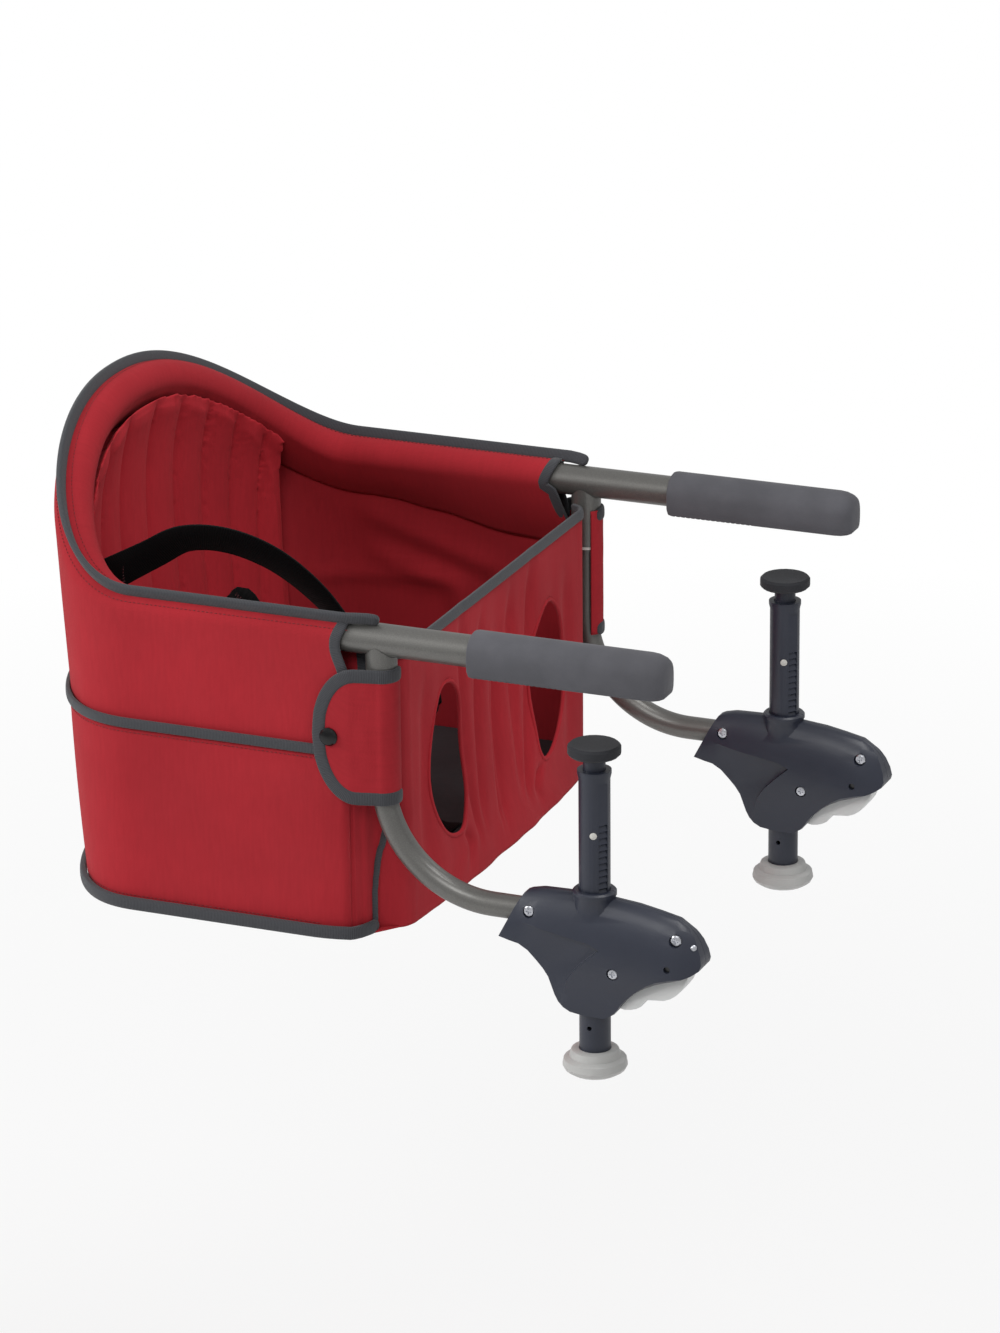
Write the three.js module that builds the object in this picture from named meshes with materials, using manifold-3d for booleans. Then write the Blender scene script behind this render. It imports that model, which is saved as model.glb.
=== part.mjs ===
// Hook-on table chair: a fabric seat on a bent steel frame, whose two arms rest on the table top
// while two ratchet clamps press up from below. Millimetres, +X over the table, +Z up.
// The origin is the middle of the table's edge, level with the table top.
import * as THREE from 'three';
import { mergeVertices } from 'three/addons/utils/BufferGeometryUtils.js';
import Module from 'manifold-3d';

const wasm = await Module();
wasm.setup();

// Clearances and modelling allowances
const seatGap = 0.3;
const slideGap = 0.3;
const overrun = 4;
const weldDistance = 0.0002;

// Table that the chair is shown on
const tableThickness = 38;

// Upper frame: arms, hoop and grips
const armSpacing = 370;
const armTubeDiameter = 22;
const armTubeWall = 1.5;
const gripDiameter = 30;
const gripLength = 139;
const gripStart = 57;
const gripEndWall = 12;
const gripFootDepth = 15.5;
const gripFootWidth = 19;
const gripNoseRadius = 13;
const gripLipRadius = 3;
const grooveDepth = 1.4;
const grooveWidth = 1.8;
const groovePitch = 3.8;
const groovedLength = 62;
const grooveMargin = 5;
const hoopStart = -190;
const hoopDepth = 97;
const hoopRise = 91;

// Lower arm and its swivel
const swivelReach = -10;
const lowerTubeDiameter = 16.8;
const lowerTubeWall = 1.5;
const lowerTubeTop = 1;
const lowerBendRadius = 80;
const lowerTubeDrop = 163;
const lowerTubeInsert = 30;
const socketDiameter = 21.6;
const socketBottom = -31;
const bushFlangeHeight = 2;
const bushWall = 0.6;
const bushLength = 16;

// Clamp housing: a side outline with crowned sides, sunk at the rear below the body
const postReach = 143;
const bodyHalfWidth = 18.5;
const bodyEdgeRound = 3;
const bodyEdgeDepth = 8;
const recessHalfWidth = 13.4;
const recessSlope = 1.6;
const housingLength = 144.5;
const housingHeight = 84;
const collarDiameter = 30;
const collarHeight = 5;
const collarRise = 4;
const apronDiameter = 28.6;
const collarSink = 26;
const collarChamfer = 1.2;
const screwHeadDiameter = 8;
const screwHeadHeight = 2.2;
const screwHeadSink = 2.2;
const screwShankDiameter = 3.6;
const screwShankLength = 17;

// Ratchet post
const postDiameter = 21.5;
const postTop = -56;
const postBottom = -260;
const postRimDiameter = 23.2;
const postRimHeight = 2.4;
const postRimTaper = 3.6;
const postBoreDiameter = 15.8;
const rackTurn = -34;
const rackWidth = 7;
const fluteDepth = 0.65;
const toothDepth = 1.2;
const toothPitch = 4.5;
const toothFlank = 3.2;
const fluteTop = -64;
const rackTop = -93;
const rackBottom = -205;
const postHoleDiameter = 3.4;
const postHoleDrop = 238.6;
const rivetDiameter = 5;
const rivetDome = 0.9;
const rivetDrop = 100;
const rivetTurn = -73;
const postBushLength = 12;

// Pad, stem, spindle and knob
const padDiameter = 36;
const padThickness = 8;
const padPocket = 3;
const padEdge = 1.6;
const stemDiameter = 15.2;
const stemBottom = -130;
const stemBoreDiameter = 8.8;
const stemCap = 5;
const spindleDiameter = 8;
const spindleTop = -75;
const knobTop = -256;
const knobHeight = 17;
const knobNeckDiameter = 34;
const knobRimDiameter = 44.4;
const knobNeckHeight = 6;
const knobRound = 2.6;
const knobSocketDepth = 4.6;

// Release lever, its pin and spring, and the pawl that it draws back
const leverHalfWidth = 8.2;
const leverBossRadius = 6.5;
const leverBossReach = 2.8;
const leverPinDiameter = 4;
const leverPinSink = 2;
const leverArmRise = 12.3;
const leverArmWidth = 5;
const leverWebWidth = 10;
const leverWebDepth = 14;
const leverEdgeRound = 0.8;
const chamberHalfWidth = 8.75;
const springWire = 1;
const springTurns = 3;
const springClear = 0.4;
const springPitch = 1.15;
const pawlRise = 7.8;
const pawlHeight = 7.8;
const pawlPastPivot = 6.5;
const pawlPlay = 2.5;
const pawlSlotRise = 13.3;
const pawlSlotSlack = 0.9;

// Seat: levels, cloth and trim
const seatBottom = -198;
const clothThickness = 1.2;
const hemClear = 1.1;
const layerGap = 0.4;
const trimGap = 0.6;
const sidePanelFront = -30;
const hemGapAngle = 24;
const wallBottomDepth = 84;
const boardThickness = 5;
const boardInset = 4;
const pipingDiameter = 7;
const bottomPipingDiameter = 8;
const pocketTop = -66;
const pocketFront = -54;
const pocketPipingDiameter = 6;
const padLayerThickness = 9;
const padLayerBottom = -150;
const padHemClear = 10;
const padHemInset = 21;
const padTurn = 60;
const padChannels = 11;
const frontPanelPlane = -3.5;
const frontPanelTop = 1;
const frontCornerTop = -38;
const legOpeningWidth = 62;
const legOpeningHeight = 115;
const legOpeningOffset = 92;
const legOpeningDrop = 102;
const crotchBulge = 7;
const flapReach = -53;
const flapTuckTurn = 52;
const flapTop = -4;
const flapBottom = -98;
const flapEndSpan = 30;
const snapDiameter = 13;
const snapHeight = 3.2;
const snapReach = -42;
const snapDrop = 52;
const strapWidth = 25;
const strapThickness = 1.6;
const strapTurn = 33;
const strapSewnTurn = 6;
const rightStrapHeight = 3;
const leftStrapHeight = -90;
const buckleWidth = 44;
const buckleHeight = 34;
const buckleThickness = 11;
const buckleReach = -62;
const buckleDrop = 96;

// Values worked out from the sizes above
const armOffset = armSpacing / 2;
const armRadius = armTubeDiameter / 2;
const armHeight = gripFootDepth;
const armEnd = gripStart + gripLength - gripEndWall;
const lowerRadius = lowerTubeDiameter / 2;
const postRadius = postDiameter / 2;
const hemRadius = armRadius + hemClear + clothThickness / 2;
const wallOffset = armOffset + hemRadius;
const postBore = postRadius + slideGap;
const padTop = -tableThickness;
const postPlaceShare = 0.45;
const tubePlaceShare = 0.786;
const housingTail = postReach - housingLength * postPlaceShare;
const housingFoot = -lowerTubeDrop - housingHeight * tubePlaceShare;
const housingTop = housingFoot + housingHeight;
const collarTop = housingTop + collarRise;
const lowerTubeEnd = housingTail + lowerTubeInsert;

// Shares that shape the hoop: how squarely it turns and how its rise gathers at the back
const hoopTurnShare = 0.85;
const hoopSpreadShare = 0.93;
const hoopRiseShare = 1.9;

// Corner shares of the housing outline, from its tail (0) to its nose (1) and from its foot (0) to its top (1)
const upperEdgeShares = [[0.101, 0.917], [0.125, 0.964], [0.2, 0.994], [0.367, 1], [0.464, 1], [0.671, 0.964],
  [0.775, 0.929], [0.872, 0.893], [0.945, 0.798], [0.98, 0.695], [1, 0.571], [0.983, 0.5], [0.92, 0.44]];
const lowerEdgeShares = [[0.796, 0.369], [0.699, 0.28], [0.623, 0.155], [0.595, 0.083], [0.533, 0], [0.374, 0.012],
  [0.311, 0.071], [0.277, 0.167], [0.249, 0.298], [0.2, 0.405], [0.125, 0.524], [0.048, 0.56], [0, 0.583]];
const recessShares = [[-0.2, 0.86], [0.06, 0.77], [0.2, 0.715], [0.36, 0.675], [0.46, 0.65], [0.518, 0.607],
  [0.46, 0.52], [0.39, 0.4], [0.349, 0.298], [0.33, 0.16], [0.3, -0.3], [-0.3, -0.3]];

// Crest of the housing along its length: place, height and half width
const crownShares = [[-0.1, 0.9, 0.76], [0.1, 0.96, 0.86], [0.2, 1, 0.94], [0.367, 1.005, 1], [0.464, 1.005, 1],
  [0.671, 0.97, 1], [0.775, 0.936, 1], [0.872, 0.9, 0.97], [0.945, 0.82, 0.86], [1.02, 0.72, 0.6], [1.1, 0.6, 0.25]];

// Crowned section: drop below the crest and half width there
const sectionShares = [[0, 0.12], [0.02, 0.28], [0.06, 0.47], [0.12, 0.64], [0.2, 0.79], [0.3, 0.91], [0.42, 0.985],
  [0.52, 1], [0.62, 0.93], [0.74, 0.8], [0.86, 0.745], [1.1, 0.73]];
const chamberShares = [[0.557, -0.1], [0.557, 0.25], [0.63, 0.357], [0.768, 0.429], [0.792, 0.512],
  [0.792, 0.713], [0.927, 0.713], [0.939, 0.6], [0.939, -0.1]];
const paddleShares = [[0.936, 0.444], [0.92, 0.363], [0.872, 0.264], [0.813, 0.206], [0.724, 0.19],
  [0.699, 0.125], [0.649, 0.086], [0.595, 0.088], [0.609, 0.17], [0.674, 0.274], [0.798, 0.365]];

// Places of the housing's screws and the lever's pin, in the same shares
const rearScrewShares = [0.1516, 0.8226];
const frontScrewShares = [0.8796, 0.7512];
const lowerScrewShares = [0.5841, 0.419];
const leverPinShares = [0.8512, 0.5238];

// Places along the waist straps, in shares of the seat's depth, half width and height
const rightStrapShares = [[0.76, -0.585, 0.13], [0.67, -0.56, 0.2], [0.57, -0.5, 0.19], [0.47, -0.42, 0.11],
  [0.38, -0.34, -0.03], [0.31, -0.28, -0.2], [0.255, -0.24, -0.36]];
const leftStrapShares = [[0.76, 0.6, -0.63], [0.63, 0.53, -0.75], [0.5, 0.43, -0.78], [0.38, 0.34, -0.7],
  [0.27, 0.25, -0.56]];

const leverPin = housingPoint(leverPinShares);
const pawlBottom = leverPin.y + pawlRise;

// Materials
function finish(colour, roughness, metalness) {
  return new THREE.MeshStandardMaterial({ color: colour, roughness, metalness });
}
const warmGreyEnamel = finish(0x6e6c68, 0.42, 0.6);
const gripRubber = finish(0x57575c, 0.85, 0);
const slateMoulding = finish(0x3a3d47, 0.5, 0);
const paleMoulding = finish(0xb4b4b2, 0.4, 0);
const padRubber = finish(0x2b2c30, 0.9, 0);
const brightSteel = finish(0xb8bac0, 0.3, 1);
const redCloth = finish(0xa52e34, 0.9, 0);
const greyBinding = finish(0x3e3f42, 0.9, 0);
const blackWebbing = finish(0x18191b, 0.85, 0);
const blackMoulding = finish(0x1b1c1e, 0.45, 0);
const boardPlastic = finish(0x2e2e30, 0.7, 0);
const naturalPlastic = finish(0xc9c8c2, 0.5, 0);

// Helpers for closed bodies

function cleanBody(geometry) {
  const bare = geometry.clone();
  bare.deleteAttribute('normal');
  bare.deleteAttribute('uv');
  const merged = mergeVertices(bare, weldDistance);
  const kept = [];
  for (let k = 0; k < merged.index.count; k += 3) {
    const [a, b, c] = [merged.index.getX(k), merged.index.getX(k + 1), merged.index.getX(k + 2)];
    if (a !== b && b !== c && a !== c) kept.push(a, b, c);
  }
  merged.setIndex(kept);
  return merged;
}

function toSolid(geometry) {
  const merged = cleanBody(geometry);
  return new wasm.Manifold(new wasm.Mesh({
    numProp: 3,
    vertProperties: Float32Array.from(merged.attributes.position.array),
    triVerts: Uint32Array.from(merged.index.array),
  }));
}

function toGeometry(solid) {
  const mesh = solid.getMesh();
  const geometry = new THREE.BufferGeometry();
  geometry.setAttribute('position', new THREE.BufferAttribute(Float32Array.from(mesh.vertProperties), 3));
  geometry.setIndex(Array.from(mesh.triVerts));
  return geometry;
}

function without(geometry, ...cutters) {
  let solid = toSolid(geometry);
  for (const cutter of cutters) solid = solid.subtract(toSolid(cutter));
  return toGeometry(solid);
}

function joined(first, ...others) {
  let solid = toSolid(first);
  for (const other of others) solid = solid.add(toSolid(other));
  return toGeometry(solid);
}

function shared(first, second) {
  return toGeometry(toSolid(first).intersect(toSolid(second)));
}

// A body of revolution about +Z from a closed profile of [radius, height] points
function revolved(profile, segments = 28) {
  const points = profile.map(([radius, height]) => new THREE.Vector2(radius, height));
  points.push(points[0].clone());
  const geometry = new THREE.LatheGeometry(points, segments);
  geometry.rotateX(Math.PI / 2);
  return facingOut(geometry);
}

function facingOut(geometry) {
  const clean = cleanBody(geometry);
  const spots = clean.attributes.position;
  let volume = 0;
  for (let k = 0; k < clean.index.count; k += 3) {
    const corners = [0, 1, 2].map((n) => new THREE.Vector3().fromBufferAttribute(spots, clean.index.getX(k + n)));
    volume += corners[0].dot(corners[1].cross(corners[2]));
  }
  if (volume < 0) {
    const turned = [];
    for (let k = 0; k < clean.index.count; k += 3) {
      turned.push(clean.index.getX(k), clean.index.getX(k + 2), clean.index.getX(k + 1));
    }
    clean.setIndex(turned);
  }
  return clean;
}

function roundBar(diameter, length, segments = 24) {
  const bar = new THREE.CylinderGeometry(diameter / 2, diameter / 2, length, segments);
  bar.rotateX(Math.PI / 2);
  return bar;
}

function barAlongX(diameter, length, segments) {
  return roundBar(diameter, length, segments).rotateY(Math.PI / 2);
}

function barAlongY(diameter, length, segments) {
  return roundBar(diameter, length, segments).rotateX(Math.PI / 2);
}

function block(from, to) {
  const size = to.map((value, axis) => value - from[axis]);
  const centre = to.map((value, axis) => (value + from[axis]) / 2);
  return new THREE.BoxGeometry(...size).translate(...centre);
}

const boreSides = 6;
function ringShape(outerDiameter, innerDiameter) {
  const shape = new THREE.Shape();
  shape.absarc(0, 0, outerDiameter / 2, 0, 2 * Math.PI);
  if (innerDiameter > 0) {
    const corners = [];
    for (let k = 0; k < boreSides; k += 1) {
      const angle = 2 * Math.PI * (k / boreSides);
      corners.push(new THREE.Vector2(Math.cos(angle), Math.sin(angle)).multiplyScalar(innerDiameter / 2));
    }
    shape.holes.push(new THREE.Path(corners));
  }
  return shape;
}

function tubeAlong(path, outerDiameter, innerDiameter, steps, sides) {
  const shape = ringShape(outerDiameter, innerDiameter);
  return facingOut(new THREE.ExtrudeGeometry(shape, {
    steps, curveSegments: sides / 2, bevelEnabled: false, extrudePath: path,
  }));
}

// An outline in X and Z, as thick as asked across Y, with rounded edges if a round is given
function uprightPlate(shape, halfWidth, edgeRound = 0, edgeDepth = 0, curveSegments = 4) {
  const geometry = new THREE.ExtrudeGeometry(shape, {
    depth: 2 * (halfWidth - edgeDepth), curveSegments, bevelEnabled: edgeRound > 0,
    bevelThickness: edgeDepth, bevelSize: edgeRound, bevelOffset: -edgeRound, bevelSegments: 2,
  });
  geometry.translate(0, 0, edgeDepth - halfWidth);
  geometry.rotateX(Math.PI / 2);
  return facingOut(geometry);
}

// A closed sheet over a grid of points, its thickness laid half to each side
function sheet(columns, rows, pointAt, thicknessAt) {
  const grid = [];
  for (let i = 0; i <= columns; i += 1) {
    grid.push([]);
    for (let j = 0; j <= rows; j += 1) grid[i].push(pointAt(i / columns, j / rows));
  }
  const faces = [[], []];
  for (let i = 0; i <= columns; i += 1) {
    faces[0].push([]);
    faces[1].push([]);
    for (let j = 0; j <= rows; j += 1) {
      const across = grid[Math.min(i + 1, columns)][j].clone().sub(grid[Math.max(i - 1, 0)][j]);
      const along = grid[i][Math.min(j + 1, rows)].clone().sub(grid[i][Math.max(j - 1, 0)]);
      const out = across.cross(along).normalize().multiplyScalar(thicknessAt(i / columns, j / rows) / 2);
      faces[0][i].push(grid[i][j].clone().add(out));
      faces[1][i].push(grid[i][j].clone().sub(out));
    }
  }
  const places = [];
  const rowLength = rows + 1;
  const faceLength = rowLength * (columns + 1);
  for (const face of faces) {
    for (const column of face) {
      for (const point of column) places.push(point.x, point.y, point.z);
    }
  }
  const at = (face, i, j) => face * faceLength + i * rowLength + j;
  const index = [];
  const quad = (a, b, c, d) => index.push(a, b, c, a, c, d);
  for (let i = 0; i < columns; i += 1) {
    for (let j = 0; j < rows; j += 1) {
      quad(at(0, i, j), at(0, i + 1, j), at(0, i + 1, j + 1), at(0, i, j + 1));
      quad(at(1, i, j), at(1, i, j + 1), at(1, i + 1, j + 1), at(1, i + 1, j));
    }
    quad(at(0, i, 0), at(1, i, 0), at(1, i + 1, 0), at(0, i + 1, 0));
    quad(at(0, i + 1, rows), at(1, i + 1, rows), at(1, i, rows), at(0, i, rows));
  }
  for (let j = 0; j < rows; j += 1) {
    quad(at(0, 0, j + 1), at(1, 0, j + 1), at(1, 0, j), at(0, 0, j));
    quad(at(0, columns, j), at(1, columns, j), at(1, columns, j + 1), at(0, columns, j + 1));
  }
  const geometry = new THREE.BufferGeometry();
  geometry.setAttribute('position', new THREE.Float32BufferAttribute(places, 3));
  geometry.setIndex(index);
  return facingOut(geometry);
}

const evenThickness = (thickness) => () => thickness;
const blend = (from, to, share) => from + (to - from) * share;
const easeShare = (share) => share * share * (3 - 2 * share);

const chair = new THREE.Group();
function place(group, name, geometry, material) {
  const mesh = new THREE.Mesh(geometry, material);
  mesh.name = name;
  group.add(mesh);
  return mesh;
}

// The hoop: a point on its centre line, with turn from -90 degrees (right arm) to +90 (left arm)
function hoopPoint(turn, depth = hoopDepth, spread = armOffset) {
  const back = Math.max(Math.cos(turn), 0);
  const side = Math.sin(turn);
  return new THREE.Vector3(
    hoopStart - depth * back ** hoopTurnShare,
    spread * Math.sign(side) * Math.abs(side) ** hoopSpreadShare,
    armHeight + hoopRise * back ** hoopRiseShare,
  );
}

// Even steps of turn bunch up at the arms, so the turn runs by a share of the way round
function turnAt(share) {
  return THREE.MathUtils.degToRad(blend(-90, 90, share));
}

function hoopPlanTangent(turn) {
  const stepShare = 0.01;
  const before = hoopPoint(Math.max(turn - stepShare, -Math.PI / 2));
  const after = hoopPoint(Math.min(turn + stepShare, Math.PI / 2));
  return after.sub(before).normalize();
}

// Directions at a place on the hoop: outwards in plan, and up along the hoop's own section
function hoopSection(turn) {
  const tangent = hoopPlanTangent(turn);
  const outwards = new THREE.Vector3(-tangent.y, tangent.x, 0).normalize();
  if (outwards.dot(new THREE.Vector3(-Math.cos(turn), Math.sin(turn), 0)) < 0) outwards.negate();
  const upwards = outwards.clone().cross(tangent).normalize();
  if (upwards.z < 0) upwards.negate();
  return { outwards, upwards };
}

function frameRoute(frontEnd, divisions, lift = 0, shift = 0) {
  const points = [];
  const armSteps = 4;
  const onRoute = (turn) => {
    const { outwards, upwards } = hoopSection(turn);
    return hoopPoint(turn).addScaledVector(upwards, lift).addScaledVector(outwards, shift);
  };
  const start = onRoute(turnAt(0));
  const end = onRoute(turnAt(1));
  for (let k = 0; k < armSteps; k += 1) {
    points.push(new THREE.Vector3(blend(frontEnd, start.x, k / armSteps), start.y, start.z));
  }
  for (let k = 0; k <= divisions; k += 1) points.push(onRoute(turnAt(k / divisions)));
  for (let k = armSteps - 1; k >= 0; k -= 1) {
    points.push(new THREE.Vector3(blend(frontEnd, end.x, k / armSteps), end.y, end.z));
  }
  return new THREE.CatmullRomCurve3(points, false, 'centripetal');
}

place(chair, 'upper_frame_tube', tubeAlong(frameRoute(armEnd, 24), armTubeDiameter,
  armTubeDiameter - 2 * armTubeWall, 62, 12), warmGreyEnamel);

// Rubber grip: round above, flat below, with a rounded nose and cross grooves under its rear half
function gripSection(scale, lift) {
  const radius = gripDiameter / 2;
  const ring = [];
  const roundSteps = 10;
  for (let k = 0; k <= roundSteps; k += 1) {
    const angle = Math.PI * (k / roundSteps);
    ring.push([radius * Math.cos(angle) * scale, gripFootDepth + radius * Math.sin(angle) * scale]);
  }
  const footShares = [[1, 0.62], [0.96, 0.3], [0.82, 0.08], [1, 0]];
  const foot = footShares.map(([side, height], k) => {
    const half = k === footShares.length - 1 ? gripFootWidth / 2 : radius * side;
    return [half * scale, lift + (gripFootDepth - lift) * height];
  });
  for (const [side, height] of foot) ring.push([-side, height]);
  for (const [side, height] of foot.reverse()) ring.push([side, height]);
  return ring;
}

function lofted(stations) {
  const places = [];
  const count = stations[0].length;
  for (const ring of stations) for (const point of ring) places.push(point.x, point.y, point.z);
  const index = [];
  for (let s = 0; s < stations.length - 1; s += 1) {
    for (let k = 0; k < count; k += 1) {
      const [a, b] = [s * count + k, s * count + ((k + 1) % count)];
      index.push(a, b, b + count, a, b + count, a + count);
    }
  }
  for (const [start, turned] of [[0, true], [(stations.length - 1) * count, false]]) {
    const centre = new THREE.Vector3();
    for (let k = 0; k < count; k += 1) {
      centre.add(new THREE.Vector3().fromArray(places, 3 * (start + k)));
    }
    centre.divideScalar(count);
    const middle = places.length / 3;
    places.push(centre.x, centre.y, centre.z);
    for (let k = 0; k < count; k += 1) {
      const [a, b] = [start + k, start + ((k + 1) % count)];
      index.push(...(turned ? [b, a, middle] : [a, b, middle]));
    }
  }
  const geometry = new THREE.BufferGeometry();
  geometry.setAttribute('position', new THREE.Float32BufferAttribute(places, 3));
  geometry.setIndex(index);
  return facingOut(geometry);
}

function gripBody() {
  const stations = [];
  const ringAt = (reach, scale, lift) => gripSection(scale, lift).map(([side, height]) => (
    new THREE.Vector3(reach, side, height)));
  const lipSteps = 2;
  for (let k = 0; k <= lipSteps; k += 1) {
    const swing = (Math.PI / 2) * (k / lipSteps);
    const inset = gripLipRadius * (1 - Math.sin(swing));
    stations.push(ringAt(gripStart + gripLipRadius * (1 - Math.cos(swing)), 1 - inset / gripDiameter, inset / 2));
  }
  const noseSteps = 4;
  for (let k = 0; k <= noseSteps; k += 1) {
    const swing = (Math.PI / 2) * (k / noseSteps);
    const inset = gripNoseRadius * (1 - Math.cos(swing));
    stations.push(ringAt(gripStart + gripLength - gripNoseRadius * (1 - Math.sin(swing)),
      1 - inset / gripDiameter, inset / 4));
  }
  const sleeve = lofted(stations);
  const boreLength = armEnd + seatGap - gripStart + overrun;
  const bore = barAlongX(armTubeDiameter + 2 * seatGap, boreLength, 20);
  bore.translate(armEnd + seatGap - boreLength / 2, 0, armHeight);
  const grooves = [];
  for (let reach = grooveMargin; reach < groovedLength; reach += groovePitch) {
    const from = gripStart + reach;
    grooves.push(block([from, -gripDiameter, -overrun], [from + grooveWidth, gripDiameter, grooveDepth]));
  }
  return without(sleeve, bore, ...grooves);
}

// Welded socket under the arm, cut to the arm's round, that the lower arm swivels in
function swivelSocket() {
  const socketTop = armHeight;
  const pipe = revolved([
    [socketDiameter / 2, socketBottom], [socketDiameter / 2, socketTop],
    [lowerRadius + bushWall + 2 * seatGap, socketTop], [lowerRadius + bushWall + 2 * seatGap, socketBottom],
  ], 20);
  pipe.translate(swivelReach, 0, 0);
  const arm = barAlongX(armTubeDiameter + 2 * seatGap, 2 * socketDiameter, 24);
  arm.translate(swivelReach, 0, armHeight);
  return without(pipe, arm);
}

// Flanged plastic bush between the socket and the lower arm's tube
function swivelBush() {
  const inner = lowerRadius + seatGap;
  const flangeBottom = socketBottom - seatGap - bushFlangeHeight;
  return revolved([
    [inner, flangeBottom], [socketDiameter / 2, flangeBottom],
    [socketDiameter / 2, flangeBottom + bushFlangeHeight], [inner + bushWall, flangeBottom + bushFlangeHeight],
    [inner + bushWall, socketBottom + bushLength], [inner, socketBottom + bushLength],
  ], 20).translate(swivelReach, 0, 0);
}

// Lower arm: straight down from the swivel, then one bend forward into the clamp
function lowerTube() {
  const path = new THREE.CurvePath();
  const at = (reach, height) => new THREE.Vector3(reach, 0, height);
  const points = [at(swivelReach, lowerTubeTop)];
  const straightSteps = 3;
  const bendTop = lowerBendRadius - lowerTubeDrop;
  for (let k = 1; k < straightSteps; k += 1) {
    points.push(at(swivelReach, blend(lowerTubeTop, bendTop, k / straightSteps)));
  }
  const bendSteps = 12;
  for (let k = 0; k <= bendSteps; k += 1) {
    const angle = (Math.PI / 2) * (k / bendSteps);
    const forward = lowerBendRadius * (1 - Math.cos(angle));
    points.push(at(swivelReach + forward, bendTop - lowerBendRadius * Math.sin(angle)));
  }
  points.push(at(lowerTubeEnd, -lowerTubeDrop));
  path.add(new THREE.CatmullRomCurve3(points, false, 'centripetal'));
  const tube = tubeAlong(path.curves[0], lowerTubeDiameter, lowerTubeDiameter - 2 * lowerTubeWall, 16, 12);
  const hole = barAlongY(screwShankDiameter + 2 * slideGap, 2 * lowerTubeDiameter, 12);
  hole.translate(screwPlaces.rear.at.x, 0, screwPlaces.rear.at.y);
  return without(tube, hole);
}

// Points of an outline given in shares of the housing's length and height
function housingPoint([reachShare, heightShare]) {
  return new THREE.Vector2(housingTail + housingLength * reachShare, housingFoot + housingHeight * heightShare);
}

function curvedShares(shares, divisions) {
  return new THREE.SplineCurve(shares.map(housingPoint)).getPoints(divisions);
}

function sharesShape(shares) {
  return new THREE.Shape(shares.map(housingPoint));
}

// Value in a table of places, each row a place and what holds there
function tableValue(table, place, column = 1) {
  const after = Math.max(table.findIndex(([at]) => at >= place), 1);
  const [from, to] = [table[after - 1], table[after]];
  return blend(from[column], to[column], (place - from[0]) / (to[0] - from[0]));
}

// Half width of the housing's crowned side at a place given in shares
function crownHalfWidth([reachShare, heightShare]) {
  const drop = tableValue(crownShares, reachShare) - heightShare;
  return bodyHalfWidth * tableValue(crownShares, reachShare, 2) * tableValue(sectionShares, drop);
}

// The crowned form that the housing's outline is cut to: narrow along its crest and at its foot
function crown() {
  return lofted(crownShares.map(([reachShare, crestShare, widthShare]) => {
    const ring = sectionShares.map(([drop, share]) => {
      const place = housingPoint([reachShare, crestShare - drop]);
      return new THREE.Vector3(place.x, bodyHalfWidth * widthShare * share, place.y);
    });
    const mirrored = ring.map(({ x, y, z }) => new THREE.Vector3(x, -y, z)).reverse();
    return [...ring, ...mirrored];
  }));
}

const screwPlaces = {
  rear: { at: housingPoint(rearScrewShares), face: crownHalfWidth(rearScrewShares) },
  front: { at: housingPoint(frontScrewShares), face: crownHalfWidth(frontScrewShares) },
  lower: { at: housingPoint(lowerScrewShares), face: crownHalfWidth(lowerScrewShares) },
};

// Pan head screw with a cross recess, driven in along +Y; its head's underside is at the origin
function shellScrew() {
  const headRadius = screwHeadDiameter / 2;
  const screw = revolved([
    [0, -screwShankLength], [screwShankDiameter / 2, -screwShankLength], [screwShankDiameter / 2, 0],
    [headRadius, 0], [headRadius, screwHeadHeight / 2], [headRadius * 0.8, screwHeadHeight * 0.85],
    [0, screwHeadHeight],
  ], 10);
  const slotWidth = screwHeadDiameter / 7;
  const slotLength = screwHeadDiameter / 2;
  const across = block(
    [-slotLength / 2, -slotWidth / 2, screwHeadHeight / 2], [slotLength / 2, slotWidth / 2, screwHeadHeight * 2]);
  return without(screw, across, across.clone().rotateZ(Math.PI / 2)).rotateX(Math.PI / 2);
}

// A corner of the pawl's tip, on its outer (-1) or inner (+1) edge
function pawlTip(edge) {
  const turn = THREE.MathUtils.degToRad(rackTurn);
  const depth = postRadius - fluteDepth + slideGap;
  const halfTip = rackWidth / 2 - slideGap;
  return [
    postReach + depth * Math.cos(turn) - edge * halfTip * Math.sin(turn),
    depth * Math.sin(turn) + edge * halfTip * Math.cos(turn),
  ];
}

// Collar round the post, on an apron that runs down into the crowned sides
function housingCollar() {
  const collarRadius = collarDiameter / 2;
  const apronRadius = apronDiameter / 2;
  const collarFoot = collarTop - collarHeight;
  return revolved([
    [0, housingTop - collarSink], [apronRadius, housingTop - collarSink], [apronRadius, collarFoot],
    [collarRadius, collarFoot + collarChamfer], [collarRadius, collarTop - collarChamfer],
    [collarRadius - collarChamfer, collarTop], [0, collarTop],
  ], 24).translate(postReach, 0, 0);
}

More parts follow.
